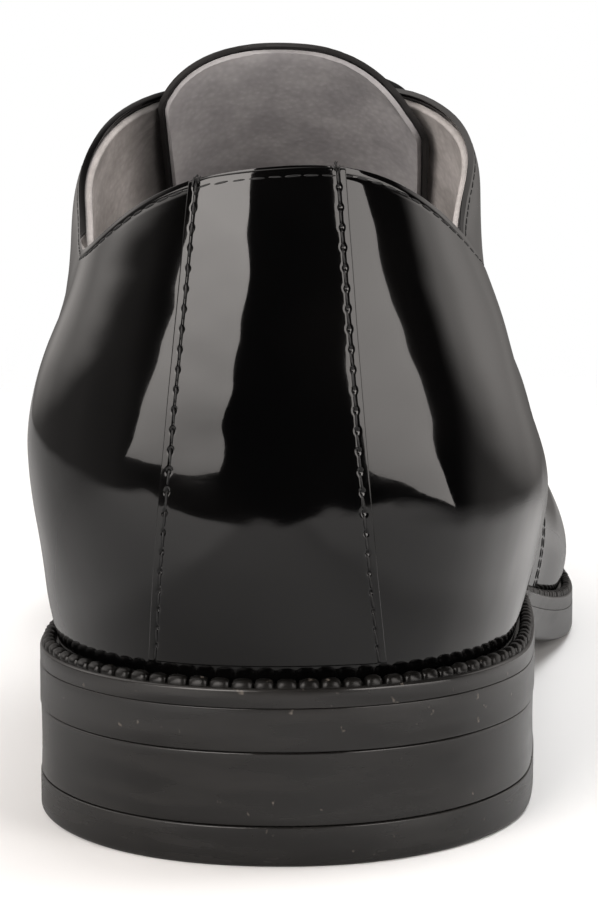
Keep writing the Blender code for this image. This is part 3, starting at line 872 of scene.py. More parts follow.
    def copies(self, name: str, template: Piece, places: Array, axes: Array) -> Piece:
        """Join copies of a template into one piece and remove the template.

        Args:
            name: Name of the piece.
            template: Object modelled at the origin, in millimetres.
            places: Places of the copies.
            axes: Matrices whose columns are the copies' three directions.

        Returns:
            The joined object.
        """
        source = template.data
        shape = np.array([vert.co for vert in source.vertices])
        faces = [list(face.vertices) for face in source.polygons]
        points = np.einsum("nij,kj->nki", axes, shape) + places[:, None, :]
        size = len(shape)
        every = [[k + n * size for k in face] for n in range(len(places)) for face in faces]
        mesh = bpy.data.meshes.new(name)
        mesh.from_pydata(self.metres(points.reshape(-1, 3)).tolist(), [], every)
        mesh.update()
        piece = bpy.data.objects.new(name, mesh)
        bpy.context.scene.collection.objects.link(piece)
        bpy.data.objects.remove(template)
        return piece

    @staticmethod
    def rounded_bar(length: float, width: float, height: float, squareness: float, steps: int = 8) -> Piece:
        """Model a small rounded bar along X from a sphere.

        Args:
            length: Size along X.
            width: Size along Y.
            height: Size along Z.
            squareness: Exponent that fills the ends out, where 2 is an ellipsoid.
            steps: Steps round the sphere.

        Returns:
            The template object, in millimetres.
        """
        Bench.deselect()
        bpy.ops.mesh.primitive_uv_sphere_add(segments=steps, ring_count=max(4, steps - 2), radius=1.0)
        piece = bpy.context.active_object
        turn = {"value": math.pi / 2.0, "orient_axis": "Y", "center_override": (0.0, 0.0, 0.0)}
        Bench.in_edit_mode(piece, lambda: bpy.ops.transform.rotate(**turn))
        half = np.array((length, width, height)) / 2.0
        for vert in piece.data.vertices:
            co = np.array(vert.co)
            size = (np.abs(co) ** squareness).sum() ** (1.0 / squareness)
            vert.co = co / size * half
        return piece

    def cut_holes(self, piece: Piece, places: Array, axes: Array, radius: float) -> None:
        """Cut round holes through a piece.

        Args:
            piece: Closed piece to cut.
            places: Middle of each hole.
            axes: Direction of each hole.
            radius: Radius of the holes in millimetres.
        """
        cutters = []
        size = {"vertices": self.HOLE_STEPS, "radius": radius * MM, "depth": self.HOLE_DEPTH * MM}
        for place, axis in zip(places, axes):
            turn = Vector(axis).to_track_quat("Z", "Y").to_euler()
            self.deselect()
            bpy.ops.mesh.primitive_cylinder_add(location=self.metres(place), rotation=turn, **size)
            cutters.append(bpy.context.active_object)
        self.deselect()
        for cutter in cutters:
            cutter.select_set(True)
        bpy.context.view_layer.objects.active = cutters[0]
        bpy.ops.object.join()
        tool = bpy.context.active_object
        self.apply_modifier(piece, "BOOLEAN", operation="DIFFERENCE", solver="EXACT", object=tool)
        bpy.data.objects.remove(tool)

    @staticmethod
    def dress(piece: Piece, material: Material, slot: Slot, *nodes: str) -> None:
        """Give a piece its finish and tie it to the frame.

        Args:
            piece: Finished mesh.
            material: Its material.
            slot: Record slot that the finish belongs to; not used.
            nodes: Solids that the piece stands for.
        """
        piece.data.materials.clear()
        piece.data.materials.append(material)
        Bench.activate(piece)
        bpy.ops.object.shade_smooth()
        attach(piece, "root")
        if nodes:
            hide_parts(*nodes)
        LOG.info("%s: %d faces", piece.name, len(piece.data.polygons))


class Board:
    """A node tree with short calls to add and join nodes."""

    def __init__(self, tree: bpy.types.NodeTree) -> None:
        """Keep the tree that nodes are added to."""
        self.tree = tree

    def feed(self, target: Socket, value: object) -> None:
        """Link a socket to another one, or set its value."""
        if isinstance(value, Socket):
            self.tree.links.new(value, target)
        else:
            target.default_value = value

    def add(self, kind: str, **values: object) -> Node:
        """Add a node.

        Args:
            kind: Node type, without the ShaderNode prefix.
            values: Settings of the node, and values of its inputs with _ for a space.

        Returns:
            The new node.
        """
        node = self.tree.nodes.new("ShaderNode" + kind)
        for name, value in values.items():
            if hasattr(node, name):
                setattr(node, name, value)
            else:
                self.feed(node.inputs[name.replace("_", " ")], value)
        return node

    def ramp(self, value: Socket, start: Pair, end: Pair = (0.0, 1.0)) -> Socket:
        """Map a value smoothly from its start range to an end range."""
        ends = dict(zip(("From_Min", "From_Max", "To_Min", "To_Max"), (*start, *end)))
        return self.add("MapRange", interpolation_type="SMOOTHSTEP", Value=value, **ends).outputs["Result"]

    def maths(self, operation: str, *values: object) -> Socket:
        """Work out a value from sockets and numbers."""
        node = self.add("Math", operation=operation)
        for target, value in zip(node.inputs, values):
            self.feed(target, value)
        return node.outputs[0]

    def product(self, *values: object) -> Socket:
        """Multiply values in order."""
        return reduce(lambda first, second: self.maths("MULTIPLY", first, second), values)

    def mark(self, name: str) -> Socket:
        """Value of a mark that is stored on the mesh, 0 where there is none."""
        return self.add("Attribute", attribute_name=name).outputs["Fac"]

    def blend(self, share: object, first: Socket, second: object, **settings: str) -> Socket:
        """Blend two colours."""
        return self.add("MixRGB", Fac=share, Color1=first, Color2=second, **settings).outputs["Color"]

    def blend_shaders(self, share: Socket, first: Socket, second: Socket) -> Socket:
        """Blend two shaders."""
        node = self.add("MixShader", Fac=share)
        self.feed(node.inputs[1], first)
        self.feed(node.inputs[2], second)
        return node.outputs["Shader"]


class Effects:
    """Shared surface effects, each a shader node group built once."""

    def __init__(self) -> None:
        """Build every group."""
        self.mottle = self.build_mottle()
        self.grain = self.build_grain()
        self.specks = self.build_specks()

    @staticmethod
    def start(name: str, inputs: Sequence[tuple], outputs: Sequence[tuple[str, str]]) -> tuple:
        """Start a group with its named sockets.

        Args:
            name: Name of the group.
            inputs: Name, kind and default of each input.
            outputs: Name and kind of each output.

        Returns:
            The tree, its board, the sockets it is given and the sockets it has to fill.
        """
        tree = bpy.data.node_groups.new(name, "ShaderNodeTree")
        for label, kind, value in inputs:
            socket = tree.interface.new_socket(name=label, in_out="INPUT", socket_type="NodeSocket" + kind)
            if value is not None:
                socket.default_value = value
        for label, kind in outputs:
            tree.interface.new_socket(name=label, in_out="OUTPUT", socket_type="NodeSocket" + kind)
        given = tree.nodes.new("NodeGroupInput").outputs
        return tree, Board(tree), given, tree.nodes.new("NodeGroupOutput").inputs

    def build_mottle(self) -> bpy.types.NodeTree:
        """Build a group that blends two colours and two values in soft blotches."""
        tree, board, given, out = self.start(
            "soft_mottle",
            (
                ("Place", "Vector", None),
                ("Scale", "Float", 60.0),
                ("First", "Color", (0.0, 0.0, 0.0, 1.0)),
                ("Second", "Color", (1.0, 1.0, 1.0, 1.0)),
                ("Low", "Float", 0.0),
                ("High", "Float", 1.0),
            ),
            (("Color", "Color"), ("Value", "Float")),
        )
        blotch = board.add("TexNoise", Vector=given["Place"], Scale=given["Scale"], Detail=5.0)
        spread = board.ramp(blotch.outputs["Fac"], (0.3, 0.7))
        value = board.add("MapRange", Value=spread, To_Min=given["Low"], To_Max=given["High"])
        board.feed(out["Color"], board.blend(spread, given["First"], given["Second"]))
        board.feed(out["Value"], value.outputs["Result"])
        return tree

    def build_grain(self) -> bpy.types.NodeTree:
        """Build a group that gives the height of a pebbled or fibrous grain."""
        tree, board, given, out = self.start(
            "fine_grain",
            (("Place", "Vector", None), ("Scale", "Float", 900.0), ("Pebble", "Float", 0.5)),
            (("Height", "Float"),),
        )
        where = {"Vector": given["Place"], "Scale": given["Scale"]}
        cells = board.add("TexVoronoi", feature="SMOOTH_F1", **where)
        fibre = board.add("TexNoise", Detail=4.0, **where)
        pebble = board.maths("MULTIPLY_ADD", cells.outputs["Distance"], -1.0, 1.0)
        mix = board.add("Mix", data_type="FLOAT")
        board.feed(mix.inputs[0], given["Pebble"])
        board.feed(mix.inputs[2], fibre.outputs["Fac"])
        board.feed(mix.inputs[3], pebble)
        board.feed(out["Height"], mix.outputs[0])
        return tree

    def build_specks(self) -> bpy.types.NodeTree:
        """Build a group that masks scattered small specks."""
        tree, board, given, out = self.start(
            "scattered_specks",
            (("Place", "Vector", None), ("Scale", "Float", 400.0), ("Cut", "Float", 0.7)),
            (("Mask", "Float"),),
        )
        noise_field = board.add("TexNoise", Vector=given["Place"], Scale=given["Scale"], Detail=2.0)
        mask = board.add("MapRange", Value=noise_field.outputs["Fac"], From_Min=given["Cut"], From_Max=0.85)
        board.feed(out["Mask"], mask.outputs["Result"])
        return tree


class Coating:
    """A material under way: its nodes, and the sockets that a finish builds on."""

    def __init__(self, name: str) -> None:
        """Start the material.

        Args:
            name: Name of the material.
        """
        self.material = bpy.data.materials.new(name)
        self.material.use_nodes = True
        self.board = Board(self.material.node_tree)
        self.shader = self.material.node_tree.nodes["Principled BSDF"]
        self.tone: Socket | None = None
        self.roughness: Socket | None = None
        self.relief: Socket | None = None

    @cached_property
    def place(self) -> Socket:
        """Coordinates in the frame."""
        return self.board.add("TexCoord").outputs["Object"]

    def set(self, **values: object) -> Material:
        """Feed the shader's inputs, named with _ for a space."""
        for name, value in values.items():
            self.board.feed(self.shader.inputs[name.replace("_", " ")], value)
        return self.material

    def cover(self, surface: Socket) -> Material:
        """Show another shader in the Principled one's place."""
        self.board.feed(self.material.node_tree.nodes["Material Output"].inputs["Surface"], surface)
        return self.material


@dataclass(frozen=True)
class Finish:
    """Two tones in soft blotches with a fine relief, from which every finish of the shoe starts."""

    name: str
    dark: Colour
    light: Colour
    roughness: Pair
    gloss: float
    blotch_scale: float
    grain_scale: float
    grain_depth: float
    grain_strength: float
    pebble: float

    def blotch_place(self, coating: Coating) -> Socket:
        """Coordinates of the blotches."""
        return coating.place

    def start(self, effects: Effects) -> Coating:
        """Start the material with what all finishes share.

        Args:
            effects: Shared node groups.

        Returns:
            The material under way.
        """
        coating = Coating(self.name)
        board = coating.board
        mottle = board.add(
            "Group",
            node_tree=effects.mottle,
            Place=self.blotch_place(coating),
            Scale=self.blotch_scale,
            First=(*self.dark, 1.0),
            Second=(*self.light, 1.0),
            Low=self.roughness[0],
            High=self.roughness[1],
        )
        coating.tone = mottle.outputs["Color"]
        coating.roughness = mottle.outputs["Value"]
        grain = {"Place": coating.place, "Scale": self.grain_scale, "Pebble": self.pebble}
        coating.relief = board.add("Group", node_tree=effects.grain, **grain).outputs["Height"]
        bump = board.add("Bump", Strength=self.grain_strength, Distance=self.grain_depth * MM)
        board.feed(bump.inputs["Height"], coating.relief)
        coating.set(Base_Color=coating.tone, Roughness=coating.roughness, Specular_IOR_Level=self.gloss)
        coating.set(Normal=bump.outputs["Normal"])
        return coating

    def material(self, effects: Effects) -> Material:
        """Build the material."""
        return self.start(effects).material


@dataclass(frozen=True)
class PatentFinish(Finish):
    """Black patent leather: a clear glossy film over smooth leather, and dull cut edges where marked."""

    name: str = "black_patent"
    dark: Colour = (0.0008, 0.0008, 0.0009)
    light: Colour = (0.0017, 0.0016, 0.0016)
    roughness: Pair = (0.05, 0.10)
    gloss: float = 0.12
    blotch_scale: float = 45.0
    grain_scale: float = 900.0
    grain_depth: float = 0.02
    grain_strength: float = 0.3
    pebble: float = 0.2
    cut_edge: Colour = (0.022, 0.021, 0.021)
    cut_roughness: float = 0.5
    film_roughness: float = 0.022
    film_ior: float = 1.32

    def material(self, effects: Effects) -> Material:
        """Build the material.

        Args:
            effects: Shared node groups.

        Returns:
            The finished material.
        """
        coating = self.start(effects)
        board = coating.board
        cut = board.mark(Bench.RIM)
        return coating.set(
            Base_Color=board.blend(cut, coating.tone, (*self.cut_edge, 1.0)),
            Roughness=board.maths("MAXIMUM", coating.roughness, board.product(cut, self.cut_roughness)),
            Coat_Weight=board.maths("SUBTRACT", 1.0, cut),
            Coat_Roughness=self.film_roughness,
            Coat_IOR=self.film_ior,
        )


@dataclass(frozen=True)
class LiningFinish(Finish):
    """Matt lining leather with a fine pebbled grain, another tone at its rim and painted shade where a
    neighbouring part would shadow it.
    """

    name: str = "grey_lining"
    dark: Colour = (0.295, 0.285, 0.292)
    light: Colour = (0.39, 0.378, 0.382)
    roughness: Pair = (0.62, 0.8)
    gloss: float = 0.35
    blotch_scale: float = 130.0
    grain_scale: float = 1100.0
    grain_depth: float = 0.10
    grain_strength: float = 0.6
    pebble: float = 0.75
    grain_shade: float = 0.35
    edge_tone: float = 1.15
    edge_share: float = 0.3
    # Colour and strength of the painted shade where its mark is set
    deep: Colour = (0.02, 0.019, 0.019)
    deep_share: float = 0.92

    def material(self, effects: Effects) -> Material:
        """Build the material.

        Args:
            effects: Shared node groups.

        Returns:
            The finished material.
        """
        coating = self.start(effects)
        board = coating.board
        # Painted shade in the grain: the colour is darkened where the relief is low
        tone = board.blend(self.grain_shade, coating.tone, coating.relief, blend_type="MULTIPLY")
        edge = (*[self.edge_tone * level for level in self.light], 1.0)
        tone = board.blend(board.product(board.mark(Bench.RIM), self.edge_share), tone, edge)
        # Painted shade: the colour turns dark where the shade mark is set
        deep = board.product(board.mark(Bench.DEEP), self.deep_share)
        return coating.set(Base_Color=board.blend(deep, tone, (*self.deep, 1.0)))


@dataclass(frozen=True)
class RubberFinish(Finish):
    """Satin black rubber with fine moulding grain, rubbed streaks and a few pale specks."""

    dark: Colour = (0.0085, 0.0081, 0.0078)
    light: Colour = (0.0150, 0.0142, 0.0135)
    roughness: Pair = (0.14, 0.22)
    gloss: float = 0.38
    blotch_scale: float = 55.0
    grain_scale: float = 1300.0
    grain_depth: float = 0.05
    grain_strength: float = 0.15
    pebble: float = 0.35
    streak: float = 6.0
    speck: Colour = (0.16, 0.14, 0.12)
    speck_scale: float = 620.0
    speck_cut: float = 0.7

    def blotch_place(self, coating: Coating) -> Socket:
        """Coordinates drawn together upward, so that the blotches become streaks."""
        stretch = coating.board.add("Mapping", Vector=coating.place, Scale=(1.0, 1.0, self.streak))
        return stretch.outputs["Vector"]

    def material(self, effects: Effects) -> Material:
        """Build the material.

        Args:
            effects: Shared node groups.

        Returns:
            The finished material.
        """
        coating = self.start(effects)
        board = coating.board
        scatter = {"Place": coating.place, "Scale": self.speck_scale, "Cut": self.speck_cut}
        specks = board.add("Group", node_tree=effects.specks, **scatter).outputs["Mask"]
        return coating.set(Base_Color=board.blend(specks, coating.tone, (*self.speck, 1.0)))


@dataclass(frozen=True)
class ThreadFinish(Finish):
    """Waxed black thread or cord, with the fine relief of its twist or weave."""

    dark: Colour = (0.005, 0.005, 0.0052)
    light: Colour = (0.011, 0.011, 0.01144)
    roughness: Pair = (0.34, 0.5)
    gloss: float = 0.3
    blotch_scale: float = 500.0
    grain_scale: float = 1500.0
    grain_depth: float = 0.12
    grain_strength: float = 0.7
    pebble: float = 0.8


class Finishes:
    """Every material of the shoe."""

    def __init__(self) -> None:
        """Build the effects and the materials."""
        effects = Effects()
        warm = LiningFinish(
            "warm_lining", (0.40, 0.375, 0.36), (0.56, 0.525, 0.51), edge_tone=0.42, edge_share=0.9
        )
        bead = RubberFinish(
            "welt_bead", (0.003, 0.0028, 0.0026), (0.007, 0.0065, 0.006), roughness=(0.22, 0.36), gloss=0.2
        )
        self.patent = PatentFinish().material(effects)
        self.lining = LiningFinish().material(effects)
        self.facing_lining = warm.material(effects)
        self.sole = RubberFinish("sole_edge").material(effects)
        self.lift = RubberFinish("heel_block", roughness=(0.12, 0.2), speck_cut=0.74).material(effects)
        self.tip = RubberFinish("heel_tip", roughness=(0.22, 0.32), speck_cut=0.73).material(effects)
        self.bead = bead.material(effects)
        self.thread = ThreadFinish("waxed_thread").material(effects)
        self.lace = ThreadFinish("lace_weave", grain_scale=1200.0).material(effects)


def arc_edge(inset: float, level: float, radius: float, low: bool, steps: int = 5) -> list[Pair]:
    """Round the edge of a layer.

    Args:
        inset: Inset of the layer's side.
        level: Level of the layer's face.
        radius: Radius of the rounding.
        low: Whether the edge is at the bottom of the layer.
        steps: Steps of the rounding.

    Returns:
        Insets and levels, from bottom to top.
    """
    turn = np.linspace(0.0, math.pi / 2.0, steps + 1)
    pairs = [(inset + radius * (1.0 - math.sin(t)), radius * (1.0 - math.cos(t))) for t in turn]
    if low:
        return [(i, level + d) for i, d in pairs]
    return [(i, level - d) for i, d in reversed(pairs)]


@dataclass
class Subassembly:
    """What every sub-assembly of the shoe is built with."""

    last: LastForm
    bench: Bench
    finishes: Finishes


@dataclass
class Sole(Subassembly):
    """Outsole and the two layers of the heel."""

    joint: float = 0.1
    edge: float = 0.2
    seam_edge: float = 0.1
    tread_edge: float = 1.3
    floor_edge: float = 0.7
    lift_inset: float = 0.12
    lift_hollow: float = 0.1
    heel_steps: int = 60
    heel_spread: float = 1.8
    heel_front: Pair = (60.0, 76.0)
    side_levels: Pair = (2.2, -1.2)
    lift_shares: tuple[float, float, int] = (0.1, 0.9, 7)
    tip_levels: Pair = (2.0, 3.6)

    def faired(self, heel: Array, front: Array) -> Array:
        """Ring with the close edge of the heel's joint there, and the tread's round edge ahead."""
        share = smooth_step(*self.heel_front, heel[:, 1])[:, None]
        return heel * (1.0 - share) + front * share

    def build(self) -> None:
        """Add the three pieces."""
        form = self.last.sole
        shares = form.stations(*form.edge_steps)
        low = form.lift_line + form.gap / 2.0
        high = form.sole_line - self.joint / 4.0
        close = [form.layer_ring(shares, i, z) for i, z in arc_edge(0.0, low, self.edge, True)]
        tread = [form.layer_ring(shares, i, z) for i, z in arc_edge(0.0, low, self.tread_edge, True)]
        rings = [self.faired(heel, front) for heel, front in zip(close, tread)]
        edges = [(0.0, low + self.side_levels[0]), (0.0, high + self.side_levels[1])]
        edges += arc_edge(0.0, high, self.seam_edge, False)
        rings += [form.layer_ring(shares, i, z) for i, z in edges]
        outsole = self.bench.stack("outsole_dressed", rings, folded=True)
        self.bench.dress(outsole, self.finishes.sole, Slot.RUBBER, "outsole")
        turn = np.linspace(0.0, 1.0, self.heel_steps) ** self.heel_spread
        high = low - self.joint
        low = form.top_piece_line + self.joint / 2.0
        levels = np.linspace(*self.lift_shares)
        inset = self.lift_inset
        side = [(inset + self.lift_hollow * math.sin(math.pi * s), low + (high - low) * s) for s in levels]
        edges = arc_edge(inset, low, self.edge, True) + side + arc_edge(inset, high, self.edge, False)
        rings = [form.heel_ring(turn, i, z) for i, z in edges]
        lift = self.bench.stack("heel_lift_dressed", rings, folded=False)
        self.bench.dress(lift, self.finishes.lift, Slot.RUBBER, "heel_lift")
        high = form.top_piece_line - self.joint / 2.0
        edges = arc_edge(0.0, 0.0, self.floor_edge, True) + [(0.0, level) for level in self.tip_levels]
        edges += arc_edge(0.0, high, self.edge, False)
        rings = [form.heel_ring(turn, i, z) for i, z in edges]
        tip = self.bench.stack("heel_top_piece_dressed", rings, folded=False)
        self.bench.dress(tip, self.finishes.tip, Slot.RUBBER, "heel_top_piece")


@dataclass
class Welt(Subassembly):
    """Band on top of the outsole with a row of beads along its edge."""

    width: float = 11.0
    joint: float = 0.03
    low_edge: float = 0.1
    top_edge: float = 0.4
    low_insets: Pair = (6.0, 1.2)
    top_insets: tuple[float, ...] = (1.4, 2.6, 6.0)
    bead_inset: float = 1.35
    bead_pitch: float = 2.9
    bead_length: float = 2.7
    bead_depth: float = 1.8
    bead_height: float = 2.3
    bead_fullness: float = 3.6
    bead_steps: int = 10
    bead_stray: float = 0.05
    bead_unevenness: float = 0.045
    bead_seed: int = 7
    heading_step: float = 0.5

    def build(self) -> None:
        """Add the band and the beads."""
        self.build_band()
        self.build_beads()

    def build_band(self) -> None:
        """Add the band."""
        form = self.last.sole
        shares = form.stations(*form.edge_steps)
        low = form.sole_line + self.joint
        edges = [(inset, low) for inset in (self.width, *self.low_insets)]
        edges += arc_edge(self.joint, low, self.low_edge, True, 3)
        edges += arc_edge(self.joint, form.welt_top, self.top_edge, False, 4)
        edges += [(inset, form.welt_top) for inset in (*self.top_insets, self.width)]
        rings = [form.layer_ring(shares, i, z) for i, z in edges]
        points = np.stack(rings + rings[:1], axis=1)
        points = np.concatenate((points, points[:1]))
        band = self.bench.grid("welt_band", points, None, merge=True)
        self.bench.dress(band, self.finishes.sole, Slot.RUBBER, "welt")

    def build_beads(self) -> None:
        """Add the row of beads as one piece."""
        form = self.last.sole
        line = form.moved_in(self.bead_inset)
        loop = np.vstack((line, line[:1]))
        length = running_length(loop)
        count = int(round(length[-1] / self.bead_pitch))
        rng = np.random.default_rng(self.bead_seed)
        place = np.linspace(0.0, length[-1], count, endpoint=False)
        place = place + rng.normal(0.0, self.bead_stray, count)
        flat = read_line(place % length[-1], length, loop)
        ahead = read_line((place + self.heading_step) % length[-1], length, loop) - flat
        height = form.layer_height(form.welt_top, flat[:, 1])
        rise = form.layer_height(form.welt_top, flat[:, 1] + ahead[:, 1]) - height
        x_axis = unit(np.column_stack((ahead, rise)))
        y_axis = unit(np.cross((0.0, 0.0, 1.0), x_axis))
        axes = np.stack((x_axis, y_axis, np.cross(x_axis, y_axis)), axis=2)
        axes = axes * (1.0 + rng.normal(0.0, self.bead_unevenness, (count, 1, 3)))
        size = (self.bead_length, self.bead_depth, self.bead_height)
        template = self.bench.rounded_bar(*size, self.bead_fullness, self.bead_steps)
        places = np.column_stack((flat, height))
        beads = self.bench.copies("welt_beads", template, places, axes)
        self.bench.dress(beads, self.finishes.bead, Slot.RUBBER)


@dataclass
class Insole(Subassembly):
    """Insole board with its sock lining."""

    wall: float = 2.6
    clearance: float = 0.9
    thickness: float = 2.4
    steps: tuple[int, int, int] = (36, 80, 30)
    low_edge: Pair = (0.3, 0.5)
    shoulder: float = 0.8
    top_edge: float = 0.7

    def inside(self, along: Array) -> Array:
        """Distance of the insole's side from the sole's edge."""
        return self.last.margin(along) + self.wall + self.clearance

    def build(self) -> None:
        """Add the insole."""
        form = self.last.sole
        shares = form.stations(*self.steps)
        low = form.welt_top + form.gap
        high = low + self.thickness
        inset, rise = self.low_edge
        edges = [(inset, low), (0.0, low + rise), (0.0, high - self.shoulder)]
        edges += arc_edge(0.0, high, self.top_edge, False, 4)
        rings = [form.layer_ring(shares, lambda along, i=i: self.inside(along) + i, z) for i, z in edges]
        insole = self.bench.stack("insole_sock", rings, folded=True)
        self.bench.dress(insole, self.finishes.lining, Slot.LINING, "insole")


@dataclass
class Stitcher:
    """Lays rows of stitches on surfaces, with the thread's length and thickness in millimetres."""

    bench: Bench
    finishes: Finishes
    length: float = 1.9
    width: float = 0.36
    slant: float = 0.05
    unevenness: float = 0.06
    heading_step: float = 0.4
    flatness: float = 0.9
    fullness: float = 2.5
    knot_tilt: float = 0.5
    knot_sizes: Pair = (0.55, 0.85)
    places: list[Array] = field(default_factory=list)
    axes: list[Array] = field(default_factory=list)

    def knot(self, point: Array, normal: Array, strands: int, spread: float, seed: int) -> None:
        """Lay a few short thread ends across each other, where a seam is locked.

        Args:
            point: Middle of the knot.
            normal: Outward direction there.
            strands: Number of thread ends.
            spread: How far their middles stray.
            seed: Seed of the scatter.
        """
        rng = np.random.default_rng(seed)
        for _ in range(strands):
            x_axis = unit(np.array((0.0, 0.0, 1.0)) + rng.normal(0.0, self.knot_tilt, 3))
            beside = unit(np.cross(normal, x_axis))
            axes = np.stack((x_axis, beside, np.cross(x_axis, beside)), axis=1)
            self.axes.append(axes[None] * rng.uniform(*self.knot_sizes))
            self.places.append((point + rng.normal(0.0, spread, 3))[None])

    def row(self, points: Array, normals: Array, pitch: float, seed: int, lift: float = -0.02) -> None:
        """Lay one row along a line on a surface.

        Args:
            points: Points of the line.
            normals: Outward normals at the points.
            pitch: Distance between stitches.
            seed: Seed of the slight unevenness.
            lift: Height of the thread's middle over the surface.
        """
        rng = np.random.default_rng(seed)
        length = running_length(points)
        count = max(1, int(length[-1] / pitch))
        place = (np.arange(count) + 0.5) * length[-1] / count
        at = read_line(place, length, points)
        up = read_line(place, length, normals)
        step = self.heading_step
        x_axis = unit(read_line(place + step, length, points) - read_line(place - step, length, points))
        up = unit(up - x_axis * (up * x_axis).sum(axis=1, keepdims=True))
        slant = rng.normal(self.slant, self.slant, (count, 1))
        x_axis = unit(x_axis + np.cross(up, x_axis) * slant)
        beside = np.cross(up, x_axis)
        size = 1.0 + rng.normal(0.0, self.unevenness, (count, 1, 1))
        self.axes.append(np.stack((x_axis, beside, up), axis=2) * size)
        self.places.append(at + up * lift)

    def build(self, name: str) -> None:
        """Join the rows into one piece."""
        size = (self.length, self.width, self.width * self.flatness)
        template = self.bench.rounded_bar(*size, self.fullness)
        piece = self.bench.copies(name, template, np.vstack(self.places), np.vstack(self.axes))
        self.bench.dress(piece, self.finishes.thread, Slot.PATENT)


@dataclass(frozen=True)
class Fullness:
    """A soft swelling or hollow of the quarters, which brings the outline to the photographed one."""

    side: Side
    along: float
    run: float
    height: float
    rise: float
    amount: float
    fade: float = 8.0

    def lift(self, points: Array) -> Array:
        """Outward shift at points of the face."""
        ahead = (points[..., 1] - self.along) / self.run
        far = ahead**2 + ((points[..., 2] - self.height) / self.rise) ** 2
        return self.amount * np.exp(-far) * smooth_step(0.0, self.fade, self.side.value * points[..., 0])


